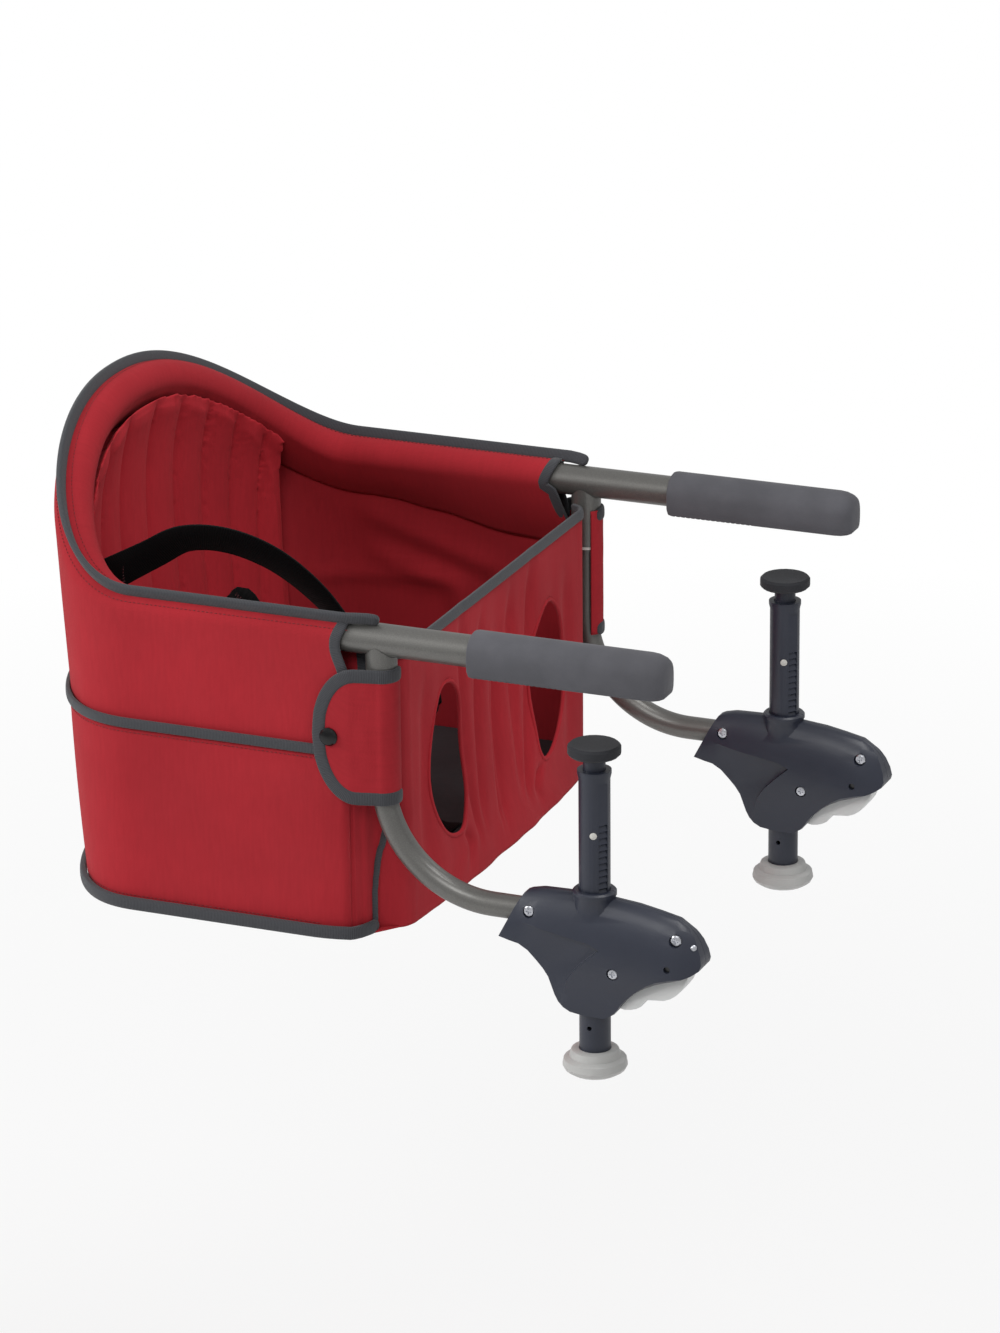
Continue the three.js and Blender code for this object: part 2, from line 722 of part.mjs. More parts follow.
// The whole moulded housing with its bores, before it is parted into two half shells
function housingBlank() {
  const outline = new THREE.Shape([...curvedShares(upperEdgeShares, 19), ...curvedShares(lowerEdgeShares, 21)]);
  const plate = uprightPlate(outline, bodyHalfWidth, bodyEdgeRound, bodyEdgeDepth);
  const body = shared(plate, crown());
  const hollow = new THREE.Shape(recessShares.map(housingPoint));
  const recesses = [-1, 1].map((side) => {
    const depth = bodyHalfWidth + overrun - recessHalfWidth;
    const recess = uprightPlate(hollow, depth, recessSlope, recessSlope);
    return recess.translate(0, side * (recessHalfWidth + depth), 0);
  });
  const postHole = roundBar(2 * postBore, housingHeight * 2, 24);
  postHole.translate(postReach, 0, housingTop - housingHeight / 2);
  const socketLength = lowerTubeEnd + seatGap - housingTail + overrun;
  const socketHole = barAlongX(lowerTubeDiameter + 2 * seatGap, socketLength, 20);
  socketHole.translate(lowerTubeEnd + seatGap - socketLength / 2, 0, -lowerTubeDrop);
  const chamber = uprightPlate(sharesShape(chamberShares), chamberHalfWidth);
  const pawlChannel = block(
    [postReach, pawlTip(-1)[1] - slideGap, pawlBottom - slideGap],
    [leverPin.x + pawlPastPivot + pawlPlay, pawlTip(1)[1] + slideGap, pawlBottom + pawlHeight + slideGap],
  );
  const cutters = [postHole, socketHole, chamber, pawlChannel];
  for (const { at, face } of Object.values(screwPlaces)) {
    const seat = screwHeadSink - face;
    const shankLength = screwShankLength + seatGap;
    const shank = barAlongY(screwShankDiameter + 2 * seatGap, shankLength, 8);
    shank.translate(at.x, seat + shankLength / 2, at.y);
    const headHole = barAlongY(screwHeadDiameter + 2 * seatGap, face, 12);
    headHole.translate(at.x, seat + seatGap - face / 2, at.y);
    cutters.push(shank, headHole);
  }
  const pinHole = barAlongY(leverPinDiameter + 2 * seatGap, 3 * bodyHalfWidth, 14);
  pinHole.translate(leverPin.x, 0, leverPin.y);
  cutters.push(pinHole);
  return without(joined(without(body, ...recesses), housingCollar()), ...cutters);
}

function halfShell(blank, side) {
  const reach = 2 * housingLength;
  const half = block(
    [0, side > 0 ? seatGap / 2 : -reach, -reach * 2],
    [reach, side > 0 ? reach : -seatGap / 2, reach],
  );
  return shared(blank, half);
}

// Sliding post: a thick tube with a flared rim and a saw-tooth rack sunk in a flute
function ratchetPost() {
  const rimRadius = postRimDiameter / 2;
  const tube = revolved([
    [postBoreDiameter / 2, postBottom], [postRadius, postBottom],
    [postRadius, postTop - postRimHeight - postRimTaper], [rimRadius, postTop - postRimHeight],
    [rimRadius, postTop], [postBoreDiameter / 2, postTop],
  ], 24);
  const landRadius = postRadius - fluteDepth;
  const outline = new THREE.Shape();
  outline.moveTo(postRimDiameter, fluteTop);
  outline.lineTo(landRadius, fluteTop);
  outline.lineTo(landRadius, rackTop);
  for (let top = rackTop; top - toothPitch >= rackBottom; top -= toothPitch) {
    outline.lineTo(landRadius - toothDepth, top - (toothPitch - toothFlank));
    outline.lineTo(landRadius, top - toothPitch);
  }
  outline.lineTo(landRadius, rackBottom);
  outline.lineTo(postRimDiameter, rackBottom);
  const rack = uprightPlate(outline, rackWidth / 2);
  rack.rotateZ(THREE.MathUtils.degToRad(rackTurn));
  const hole = barAlongY(postHoleDiameter, postRadius, 12).translate(0, -postRadius, -postHoleDrop);
  const rivetHole = barAlongX(rivetDiameter + 2 * seatGap, fluteDepth * 2, 16);
  rivetHole.translate(postRadius, 0, -rivetDrop);
  rivetHole.rotateZ(THREE.MathUtils.degToRad(rivetTurn));
  return without(tube, rack, hole, rivetHole).translate(postReach, 0, 0);
}

function postRivet() {
  const head = revolved([
    [0, 0], [rivetDiameter / 2, 0], [rivetDiameter / 2, rivetDome / 3], [rivetDiameter / 4, rivetDome],
    [0, rivetDome],
  ], 12);
  head.rotateY(Math.PI / 2);
  head.translate(postRadius - fluteDepth + seatGap, 0, -rivetDrop);
  head.rotateZ(THREE.MathUtils.degToRad(rivetTurn));
  return head.translate(postReach, 0, 0);
}

// Bush pressed into the post's foot, that the spindle turns in
function postBush() {
  return revolved([
    [spindleDiameter / 2 + seatGap, postBottom], [postBoreDiameter / 2 - seatGap, postBottom],
    [postBoreDiameter / 2 - seatGap, postBottom + postBushLength],
    [spindleDiameter / 2 + seatGap, postBottom + postBushLength],
  ], 20).translate(postReach, 0, 0);
}

function spindle() {
  const foot = knobTop - knobSocketDepth + seatGap;
  return revolved([
    [0, foot], [spindleDiameter / 2, foot], [spindleDiameter / 2, spindleTop], [0, spindleTop],
  ], 16).translate(postReach, 0, 0);
}

// Hand knob: a neck ring on a wider rounded rim, sunk on top for the post's foot
function knob() {
  const neck = knobNeckDiameter / 2;
  const rim = knobRimDiameter / 2;
  const step = knobTop - knobNeckHeight;
  const foot = knobTop - knobHeight;
  const socket = postRadius + slideGap;
  const profile = [
    [0, foot], [rim - 2 * knobRound, foot], [rim - knobRound / 2, foot + knobRound], [rim, foot + 2 * knobRound],
    [rim - knobRound / 3, step - knobRound / 2], [rim - knobRound, step],
    [neck + knobRound / 4, step + knobRound / 4], [neck, step + knobRound],
    [neck - knobRound / 3, knobTop - knobRound / 3], [neck - knobRound, knobTop],
    [socket, knobTop], [socket, knobTop - knobSocketDepth], [0, knobTop - knobSocketDepth],
  ];
  return revolved(profile, 24).translate(postReach, 0, 0);
}

// Pad stem: slides in the post and is driven up by the spindle in its bore
function padStem() {
  const stemTop = padTop - padThickness + padPocket - seatGap;
  return revolved([
    [stemBoreDiameter / 2, stemBottom], [stemDiameter / 2, stemBottom], [stemDiameter / 2, stemTop], [0, stemTop],
    [0, stemTop - stemCap], [stemBoreDiameter / 2, stemTop - stemCap],
  ], 18).translate(postReach, 0, 0);
}

function rubberPad() {
  const radius = padDiameter / 2;
  const foot = padTop - padThickness;
  const pocket = stemDiameter / 2 + seatGap;
  return revolved([
    [0, foot + padPocket], [pocket, foot + padPocket], [pocket, foot], [radius - padEdge, foot],
    [radius, foot + padEdge], [radius, padTop - padEdge], [radius - padEdge, padTop], [0, padTop],
  ], 22).translate(postReach, 0, 0);
}

// Release lever: a paddle below the nose, a boss on the pin, and an arm that draws the pawl back
function releaseLever() {
  const outline = curvedShares([...paddleShares, paddleShares[0]], 22).slice(1);
  const paddle = uprightPlate(new THREE.Shape(outline), leverHalfWidth, leverEdgeRound, leverEdgeRound);
  const bossWidth = leverHalfWidth + leverBossReach;
  const boss = barAlongY(2 * leverBossRadius, bossWidth, 18);
  boss.translate(leverPin.x, (leverBossReach - leverHalfWidth) / 2, leverPin.y);
  const web = block(
    [leverPin.x - leverWebWidth / 2, -leverHalfWidth, leverPin.y - leverWebDepth],
    [leverPin.x + leverWebWidth / 2, leverBossReach, leverPin.y],
  );
  const arm = block(
    [leverPin.x - leverArmWidth / 2, -leverHalfWidth, leverPin.y],
    [leverPin.x + leverArmWidth / 2, leverBossReach, leverPin.y + leverArmRise],
  );
  const pinHole = barAlongY(leverPinDiameter + 2 * slideGap, 3 * leverHalfWidth, 14);
  pinHole.translate(leverPin.x, 0, leverPin.y);
  return without(joined(paddle, boss, web, arm), pinHole);
}

function pinOfLever() {
  const length = 2 * (crownHalfWidth(leverPinShares) - leverPinSink);
  return barAlongY(leverPinDiameter, length, 14).translate(leverPin.x, 0, leverPin.y);
}

// Torsion spring round the pin
class CoilPath extends THREE.Curve {
  getPoint(share) {
    const radius = leverPinDiameter / 2 + springClear + springWire / 2;
    const angle = share * springTurns * 2 * Math.PI;
    const side = leverBossReach + springClear + springWire / 2 + share * springTurns * springPitch;
    return new THREE.Vector3(
      leverPin.x + radius * Math.cos(angle), side, leverPin.y + radius * Math.sin(angle));
  }
}

function leverSpring() {
  const steps = Math.round(springTurns * 7);
  return tubeAlong(new CoilPath(), springWire, 0, steps, 4);
}

// Pawl: a bar whose tip stands in the rack's flute, with a slot for the lever's finger
function ratchetPawl() {
  const [outer, inner] = [pawlTip(-1), pawlTip(1)];
  const shape = new THREE.Shape();
  shape.moveTo(...outer);
  shape.lineTo(leverPin.x + pawlPastPivot, outer[1]);
  shape.lineTo(leverPin.x + pawlPastPivot, inner[1]);
  shape.lineTo(...inner);
  const bar = new THREE.ExtrudeGeometry(shape, { depth: pawlHeight, bevelEnabled: false });
  bar.translate(0, 0, pawlBottom);
  const halfSlot = leverArmWidth / 2 + pawlSlotSlack;
  const slot = block(
    [leverPin.x - halfSlot, -bodyHalfWidth, pawlBottom - overrun],
    [leverPin.x + halfSlot, bodyHalfWidth, leverPin.y + pawlSlotRise],
  );
  return without(facingOut(bar), slot);
}

// Seat cloth. A wall hangs from the hem that wraps the tube; layer moves it outwards.
function wallFoot(turn, layer) {
  const foot = hoopPoint(turn, wallBottomDepth, wallOffset);
  return new THREE.Vector3(foot.x, foot.y, seatBottom).addScaledVector(hoopSection(turn).outwards, layer);
}

function wallHead(turn, layer) {
  const { outwards } = hoopSection(turn);
  return hoopPoint(turn).addScaledVector(outwards, hemRadius + layer);
}

// A point on the hem and the wall under it: v from 0 at the seat's bottom to 1 where the hem closes
function hangingPoint(turn, v, wallShare) {
  const head = wallHead(turn, 0);
  if (v <= wallShare) {
    const share = v / wallShare;
    return wallFoot(turn, 0).lerp(head, share);
  }
  const wrap = THREE.MathUtils.degToRad(360 - hemGapAngle) * ((v - wallShare) / (1 - wallShare));
  const { outwards, upwards } = hoopSection(turn);
  return hoopPoint(turn)
    .addScaledVector(outwards, hemRadius * Math.cos(wrap))
    .addScaledVector(upwards, hemRadius * Math.sin(wrap));
}

const hangingRows = 14;
const wallRowShare = 2 / hangingRows;

function sidePanel(side) {
  const turn = side * Math.PI / 2;
  const startReach = hoopStart + layerGap;
  return sheet(2, hangingRows, (u, v) => {
    const point = hangingPoint(turn, v, wallRowShare);
    point.x += (blend(startReach, sidePanelFront, u) - hoopStart);
    return point;
  }, evenThickness(clothThickness));
}

function backPanel() {
  return sheet(
    hoopColumns, hangingRows, (u, v) => hangingPoint(turnAt(u), v, wallRowShare), evenThickness(clothThickness));
}

// Quilted pad on the inside of the back, its channels running up and down
function padMiddle(turn, height, depth) {
  const foot = wallFoot(turn, -depth);
  const head = wallHead(turn, -depth);
  const rise = (height - padLayerBottom) / (head.z - padHemClear - padLayerBottom);
  const point = foot.clone().lerp(head, (height - foot.z) / (head.z - foot.z));
  return point.addScaledVector(hoopSection(turn).outwards, -padHemInset * Math.max(rise, 0) ** 6);
}

function backPad() {
  const inset = clothThickness / 2 + 2 * trimGap + padLayerThickness / 2;
  const limit = THREE.MathUtils.degToRad(padTurn);
  const riseOf = (v) => 1 - (1 - v) ** 2;
  return sheet(padChannels * 3, 4, (u, v) => {
    const turn = blend(-limit, limit, u);
    return padMiddle(turn, blend(padLayerBottom, hoopPoint(turn).z - padHemClear, riseOf(v)), inset);
  }, (u, v) => {
    const puff = Math.abs(Math.sin(u * padChannels * Math.PI));
    const edge = Math.sin(Math.PI * blend(0.12, 0.88, riseOf(v)));
    return padLayerThickness * (0.4 + 0.6 * puff ** 0.6) * (0.55 + 0.45 * edge);
  });
}

// A place on the outer layers, from the right panel's front (0) round the back to the left one's (1)
const hoopColumns = 26;
const armColumns = 2;
const wrapColumns = hoopColumns + 2 * armColumns;
const armRunShare = armColumns / wrapColumns;
function turnAlong(u) {
  return turnAt(THREE.MathUtils.clamp((u - armRunShare) / (1 - 2 * armRunShare), 0, 1));
}

function wallAlong(u, layer, height, front) {
  const turn = turnAlong(u);
  const foot = wallFoot(turn, layer);
  const head = wallHead(turn, layer);
  const point = foot.clone().lerp(head, (height - foot.z) / (head.z - foot.z));
  const run = Math.max(1 - Math.min(u, 1 - u) / armRunShare, 0);
  point.x = blend(point.x, front, run);
  return point;
}


function pocketPanel() {
  const layer = clothThickness + layerGap;
  return sheet(wrapColumns, 2, (u, v) => wallAlong(u, layer, blend(seatBottom, pocketTop, v), pocketFront),
    evenThickness(clothThickness));
}

function pipingAlong(pointAt, diameter, steps) {
  const points = [];
  for (let k = 0; k <= wrapColumns; k += 1) points.push(pointAt(k / wrapColumns));
  return tubeAlong(new THREE.CatmullRomCurve3(points, false, 'centripetal'), diameter, 0, steps, 6);
}

function topPiping() {
  const swing = THREE.MathUtils.degToRad(28);
  const reach = hemRadius + (clothThickness + pipingDiameter) / 2 + trimGap;
  const route = frameRoute(sidePanelFront, 24, reach * Math.cos(swing), reach * Math.sin(swing));
  return tubeAlong(route, pipingDiameter, 0, 52, 6);
}

function pocketPiping() {
  const layer = (clothThickness + pocketPipingDiameter) / 2 + trimGap;
  const rise = pocketPipingDiameter / 2 + 2 * layerGap;
  return pipingAlong((u) => wallAlong(u, layer, pocketTop + rise, pocketFront), pocketPipingDiameter, 46);
}

function bottomPiping() {
  const layer = 1.5 * clothThickness + layerGap + trimGap + bottomPipingDiameter / 2;
  return pipingAlong((u) => wallAlong(u, layer, seatBottom + bottomPipingDiameter / 2, sidePanelFront),
    bottomPipingDiameter, 46);
}

// Distance that cloth keeps from the lower tube's surface, so that the tube and its socket turn freely
function tubeKeep() {
  return (socketDiameter - lowerTubeDiameter) / 2 + seatGap + clothThickness;
}

// Corner of the front panel on the right, as turns round the swivel and distances from it in shares of its radius
const frontCornerShares = [[180, 1], [142, 1.05], [112, 1.06], [80, 1.42]];
function frontCorner() {
  const keep = lowerRadius + tubeKeep() + layerGap + clothThickness;
  const corner = frontCornerShares.map(([angle, share]) => {
    const turn = THREE.MathUtils.degToRad(angle);
    return new THREE.Vector3(
      swivelReach + keep * share * Math.cos(turn), keep * share * Math.sin(turn) - armOffset, 0);
  });
  corner.unshift(new THREE.Vector3(sidePanelFront + layerGap + clothThickness / 2, -wallOffset, 0));
  corner.push(new THREE.Vector3(frontPanelPlane, 2 * keep - armOffset, 0));
  return corner;
}

// Base outline in plan, inset from the walls, closed along the front panel
function baseShape(inset) {
  const points = [];
  const steps = 26;
  for (let k = 0; k <= steps; k += 1) {
    const foot = wallFoot(turnAt(k / steps), -inset);
    points.push(new THREE.Vector2(foot.x, foot.y));
  }
  const plan = frontPlan();
  const frontSteps = 30;
  for (let k = 0; k <= frontSteps; k += 1) {
    const tangent = plan.getTangentAt(1 - k / frontSteps);
    const point = plan.getPointAt(1 - k / frontSteps);
    const clear = inset + clothThickness + 2 * trimGap;
    points.push(new THREE.Vector2(point.x - tangent.y * clear, point.y + tangent.x * clear));
  }
  return new THREE.Shape(points);
}

function basePlate(inset, from, thickness) {
  const plate = new THREE.ExtrudeGeometry(baseShape(inset), { depth: thickness, bevelEnabled: false });
  return facingOut(plate.translate(0, 0, from));
}

// Front panel: from each side panel's edge in behind the lower tube, then straight along the table's edge
function frontPlan() {
  const right = frontCorner();
  const left = right.map((point) => new THREE.Vector3(point.x, -point.y, 0)).reverse();
  const middle = new THREE.Vector3(frontPanelPlane, 0, 0);
  return new THREE.CatmullRomCurve3([...right, middle, ...left], false, 'centripetal');
}

function frontPanel() {
  const plan = frontPlan();
  const cornerShare = 0.11;
  const panel = sheet(36, 5, (u, v) => {
    const foot = plan.getPointAt(u);
    const fromEnd = Math.min(u, 1 - u);
    const top = blend(frontCornerTop, frontPanelTop, easeShare(Math.min(fromEnd / cornerShare, 1)));
    const height = blend(seatBottom, top, v);
    const middle = Math.max(1 - Math.abs(foot.y) / (legOpeningOffset - legOpeningWidth / 3), 0);
    const waves = 0.7 + 0.3 * Math.cos(foot.y / strapWidth * Math.PI);
    const fold = Math.sin(Math.PI * v) * easeShare(middle) * waves;
    return new THREE.Vector3(foot.x - crotchBulge * fold, foot.y, height);
  }, evenThickness(clothThickness));
  const cutters = [];
  for (const side of [-1, 1]) {
    const opening = new THREE.CylinderGeometry(0.5, 0.5, 4 * crotchBulge, 20).rotateZ(Math.PI / 2);
    opening.scale(1, legOpeningWidth, legOpeningHeight);
    opening.translate(frontPanelPlane, side * legOpeningOffset, -legOpeningDrop);
    cutters.push(opening);
  }
  return without(panel, ...cutters);
}

// Flap: round the front of the lower tube and back along the side, where the snap holds it
function flapPlan(side) {
  const radius = lowerRadius + tubeKeep() - clothThickness / 2;
  const points = [];
  const turnSteps = 8;
  for (let k = 0; k <= turnSteps; k += 1) {
    const angle = THREE.MathUtils.degToRad(blend(flapTuckTurn, -90, k / turnSteps));
    points.push(new THREE.Vector3(
      swivelReach + radius * Math.cos(angle), side * (armOffset - radius * Math.sin(angle)), 0));
  }
  const outer = wallOffset + 2 * clothThickness + 3 * layerGap;
  const easeReach = blend(swivelReach, flapReach, 0.3);
  points.push(new THREE.Vector3(easeReach, side * blend(armOffset + radius, outer, 0.7), 0));
  points.push(new THREE.Vector3(blend(easeReach, flapReach, 0.3), side * outer, 0));
  points.push(new THREE.Vector3(flapReach, side * outer, 0));
  return new THREE.CatmullRomCurve3(points, false, 'centripetal');
}

function flap(side) {
  const plan = flapPlan(side);
  const half = (flapTop - flapBottom) / 2;
  return sheet(18, 4, (u, v) => {
    const foot = plan.getPointAt(1 - (1 - u) ** 1.15);
    const nearEnd = THREE.MathUtils.clamp((foot.x - flapReach) / flapEndSpan, 0, 1);
    const share = u < 0.3 ? 1 : Math.sqrt(1 - (1 - nearEnd) ** 2);
    const reach = half * blend(0.06, 1, share);
    return new THREE.Vector3(foot.x, foot.y, blend(flapBottom, flapTop, 0.5) + reach * (2 * v - 1));
  }, evenThickness(clothThickness));
}

function snapCap(side) {
  const radius = snapDiameter / 2;
  const cap = revolved([
    [0, 0], [radius, 0], [radius, snapHeight / 3], [radius * 0.8, snapHeight * 0.8], [radius * 0.3, snapHeight],
    [0, snapHeight],
  ], 14);
  cap.rotateX(-side * Math.PI / 2);
  const outer = wallOffset + 2.5 * clothThickness + 3 * layerGap + seatGap;
  return facingOut(cap.translate(snapReach, side * outer, -snapDrop));
}

// Webbing along a route, flat along the given direction
function webbing(route, across, steps) {
  return sheet(steps, 1, (u, v) => {
    const tangent = route.getTangentAt(u);
    const width = across(u).clone();
    width.addScaledVector(tangent, -width.dot(tangent)).normalize();
    return route.getPointAt(u).addScaledVector(width, strapWidth * (v - 0.5));
  }, evenThickness(strapThickness));
}

// Waist halves: each lies on the pad at its sewn end, crosses the seat and ends at the buckle's side
function waistStrap(side, shares, sewnHeight, turnShare) {
  const depth = (clothThickness + strapThickness) / 2 + 4 * trimGap + padLayerThickness;
  const sewnTurn = THREE.MathUtils.degToRad(side * strapTurn);
  const points = [0, strapSewnTurn].map((step) => (
    padMiddle(sewnTurn + THREE.MathUtils.degToRad(side * step), sewnHeight, depth)));
  for (const [reach, spread, height] of shares) {
    points.push(new THREE.Vector3(reach * (hoopStart - hoopDepth), spread * armOffset, -height * seatBottom));
  }
  const buckleSide = side * (buckleWidth / 2 + trimGap);
  points.push(new THREE.Vector3(buckleReach, buckleSide * 1.4, -buckleDrop));
  points.push(new THREE.Vector3(buckleReach, buckleSide, -buckleDrop));
  const curve = new THREE.CatmullRomCurve3(points, false, 'centripetal');
  const edges = [-1, 1].map((edge) => padMiddle(sewnTurn, sewnHeight + edge * strapWidth / 2, depth));
  const start = edges[1].sub(edges[0]).normalize();
  const end = new THREE.Vector3(0, turnShare, 1);
  return webbing(curve, (u) => start.clone().lerp(end, easeShare(Math.sin(Math.PI * u))), 20);
}

function crotchStrap() {
  const foot = seatBottom + clothThickness + 2 * seatGap + boardThickness + strapThickness / 2 + seatGap;
  const top = -buckleDrop - buckleHeight / 2 - seatGap;
  const route = new THREE.CatmullRomCurve3([
    new THREE.Vector3(buckleReach + strapWidth, 0, foot),
    new THREE.Vector3(buckleReach + strapWidth / 3, 0, foot + strapThickness),
    new THREE.Vector3(buckleReach + strapThickness, 0, blend(foot, top, 0.35)),
    new THREE.Vector3(buckleReach, 0, top),
  ], false, 'centripetal');
  return webbing(route, () => new THREE.Vector3(0, 1, 0), 12);
}

// Side-release buckle: a rounded body, with the two waist halves meeting it from the sides
function buckle() {
  const half = buckleWidth / 2;
  const shape = new THREE.Shape();
  shape.moveTo(-half, -buckleHeight / 3);
  shape.quadraticCurveTo(-half, -buckleHeight / 2, -half / 2, -buckleHeight / 2);
  shape.lineTo(half / 2, -buckleHeight / 2);
  shape.quadraticCurveTo(half, -buckleHeight / 2, half, -buckleHeight / 3);
  shape.lineTo(half, buckleHeight / 3);
  shape.quadraticCurveTo(half, buckleHeight / 2, half / 2, buckleHeight / 2);
  shape.lineTo(-half / 2, buckleHeight / 2);
  shape.quadraticCurveTo(-half, buckleHeight / 2, -half, buckleHeight / 3);
  const body = uprightPlate(shape, buckleThickness / 2, buckleThickness / 5, buckleThickness / 5);
  return body.rotateZ(Math.PI / 2).translate(buckleReach, 0, -buckleDrop);
}

// Frame, clamps and swivels, one set for each arm
const parts = {
  grip: gripBody(),
  socket: swivelSocket(),
  swivelBush: swivelBush(),
  lowerTube: lowerTube(),
  blank: housingBlank(),
  screw: shellScrew(),
  post: ratchetPost(),
  rivet: postRivet(),
  postBush: postBush(),
  spindle: spindle(),
  knob: knob(),
  stem: padStem(),
  pad: rubberPad(),
  lever: releaseLever(),
  pin: pinOfLever(),
  spring: leverSpring(),
  pawl: ratchetPawl(),
};
const outerShell = halfShell(parts.blank, -1);
const innerShell = halfShell(parts.blank, 1);

for (const [name, side] of [['right', -1], ['left', 1]]) {
  const arm = new THREE.Group();
  arm.position.y = side * armOffset;
  chair.add(arm);
  place(arm, `${name}_grip`, parts.grip, gripRubber);
  place(arm, `${name}_swivel_socket`, parts.socket, warmGreyEnamel);
  place(arm, `${name}_swivel_bush`, parts.swivelBush, naturalPlastic);
  place(arm, `${name}_lower_tube`, parts.lowerTube, warmGreyEnamel);
  place(arm, `${name}_clamp_outer_shell`, outerShell, slateMoulding);
  place(arm, `${name}_clamp_inner_shell`, innerShell, slateMoulding);
  for (const [spot, { at, face }] of Object.entries(screwPlaces)) {
    const screw = place(arm, `${name}_clamp_screw_${spot}`, parts.screw, brightSteel);
    screw.position.set(at.x, screwHeadSink - face, at.y);
  }
  place(arm, `${name}_lever_pin`, parts.pin, brightSteel);
  place(arm, `${name}_lever_spring`, parts.spring, brightSteel);
  place(arm, `${name}_release_lever`, parts.lever, paleMoulding);
  place(arm, `${name}_ratchet_pawl`, parts.pawl, brightSteel);
  place(arm, `${name}_ratchet_post`, parts.post, slateMoulding);
  place(arm, `${name}_post_bush`, parts.postBush, naturalPlastic);
  place(arm, `${name}_post_rivet`, parts.rivet, naturalPlastic);
  place(arm, `${name}_screw_spindle`, parts.spindle, brightSteel);
  place(arm, `${name}_hand_knob`, parts.knob, paleMoulding);
  place(arm, `${name}_pad_stem`, parts.stem, slateMoulding);
  place(arm, `${name}_rubber_pad`, parts.pad, padRubber);
  place(chair, `${name}_side_panel`, sidePanel(side), redCloth);
  place(chair, `${name}_snap_flap`, flap(side), redCloth);
  place(chair, `${name}_snap_cap`, snapCap(side), blackMoulding);
}

// Seat
place(chair, 'back_panel', backPanel(), redCloth);
place(chair, 'back_pad', backPad(), redCloth);
place(chair, 'front_panel', frontPanel(), redCloth);
place(chair, 'pocket_panel', pocketPanel(), redCloth);
place(chair, 'base_panel', basePlate(clothThickness / 2 + seatGap, seatBottom, clothThickness), redCloth);
const boardFoot = seatBottom + clothThickness + seatGap;
place(chair, 'base_board', basePlate(boardInset, boardFoot, boardThickness), boardPlastic);
place(chair, 'top_piping', topPiping(), greyBinding);
place(chair, 'pocket_piping', pocketPiping(), greyBinding);
place(chair, 'bottom_piping', bottomPiping(), greyBinding);
place(chair, 'right_waist_strap', waistStrap(-1, rightStrapShares, rightStrapHeight, -0.6), blackWebbing);
place(chair, 'left_waist_strap', waistStrap(1, leftStrapShares, leftStrapHeight, 0.5), blackWebbing);
place(chair, 'crotch_strap', crotchStrap(), blackWebbing);
place(chair, 'strap_buckle', buckle(), blackMoulding);

export default chair;
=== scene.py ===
"""Looks of the hook-on table chair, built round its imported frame, in metres."""

import math

import bpy
import bmesh
import numpy as np
from mathutils import Matrix, Vector, noise
from mathutils.kdtree import KDTree


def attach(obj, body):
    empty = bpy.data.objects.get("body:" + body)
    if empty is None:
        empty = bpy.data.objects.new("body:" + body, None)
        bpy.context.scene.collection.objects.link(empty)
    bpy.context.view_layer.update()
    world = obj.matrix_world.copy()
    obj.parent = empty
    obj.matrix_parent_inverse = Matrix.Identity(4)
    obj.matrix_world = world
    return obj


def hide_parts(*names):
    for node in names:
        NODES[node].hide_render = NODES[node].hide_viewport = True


bl_info = {
    "name": "Hook-on Table Chair",
    "version": (1, 0, 0),
    "blender": (4, 5, 0),
    "location": "View3D > Sidebar > Table Chair",
    "description": "Builds the cloth, trim, finishes and studio of a hook-on table chair",
    "category": "Object",
}

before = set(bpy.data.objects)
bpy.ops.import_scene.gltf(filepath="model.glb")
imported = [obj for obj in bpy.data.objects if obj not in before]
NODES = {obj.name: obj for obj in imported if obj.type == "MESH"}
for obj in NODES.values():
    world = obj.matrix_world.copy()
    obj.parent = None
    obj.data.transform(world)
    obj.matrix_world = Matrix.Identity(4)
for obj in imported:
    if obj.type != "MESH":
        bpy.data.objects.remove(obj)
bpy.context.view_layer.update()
MM = 0.001
SIDES = (("right", -1), ("left", 1))

# Sizes of the frame, in millimetres, as the part's source names them
ARM_OFFSET, ARM_RADIUS, ARM_HEIGHT, ARM_END = 185.0, 11.0, 15.5, 184.0
HOOP_START, HOOP_DEPTH, HOOP_RISE = -190.0, 97.0, 91.0
HOOP_TURN, HOOP_SPREAD, HOOP_LIFT = 0.85, 0.93, 1.9
HEM_RADIUS, HEM_WRAP = 12.7, math.radians(190)
WALL_OFFSET, WALL_FOOT_DEPTH = ARM_OFFSET + HEM_RADIUS, 84.0
SEAT_BOTTOM = -198.0
SIDE_FRONT, RIM_FRONT, SWIVEL = -30.0, -10.0, -10.0
HEM_DROP, SLEEVE_SLANT = (28.0, 54.0), 12.0
LOWER_RADIUS, LOWER_BEND, LOWER_DROP, LOWER_END = 8.4, 80.0, 163.0, 108.0
CLOTH, TUBE_KEEP = 1.2, 3.9
POCKET_FRONT, POCKET_TOP = -54.0, -66.0
PAD_BOTTOM, PAD_CHANNELS, PAD_TURN = -150.0, 11, math.radians(60)
PAD_DEPTH, PAD_HEM_CLEAR, PAD_HEM_INSET = 6.3, 10.0, 21.0
PAD_HALF_LIMIT, PAD_COLUMNS = 4.6, 240
FLAP_REACH, FLAP_END, FLAP_TOP, FLAP_BOTTOM = -53.0, 30.0, -4.0, -98.0
FLAP_MIDDLE, FLAP_HALF = (FLAP_TOP + FLAP_BOTTOM) / 2, (FLAP_TOP - FLAP_BOTTOM) / 2
FRONT_PLANE, FRONT_TOP, CORNER_TOP, CORNER_SHARE = -3.5, 1.0, -38.0, 0.12
LEG_OFFSET, LEG_WIDTH, LEG_HEIGHT, LEG_DROP = 92.0, 62.0, 115.0, 102.0
CROTCH_BULGE, FOOT_BULGE, LEG_LEAN = 7.0, 9.0, 11.0
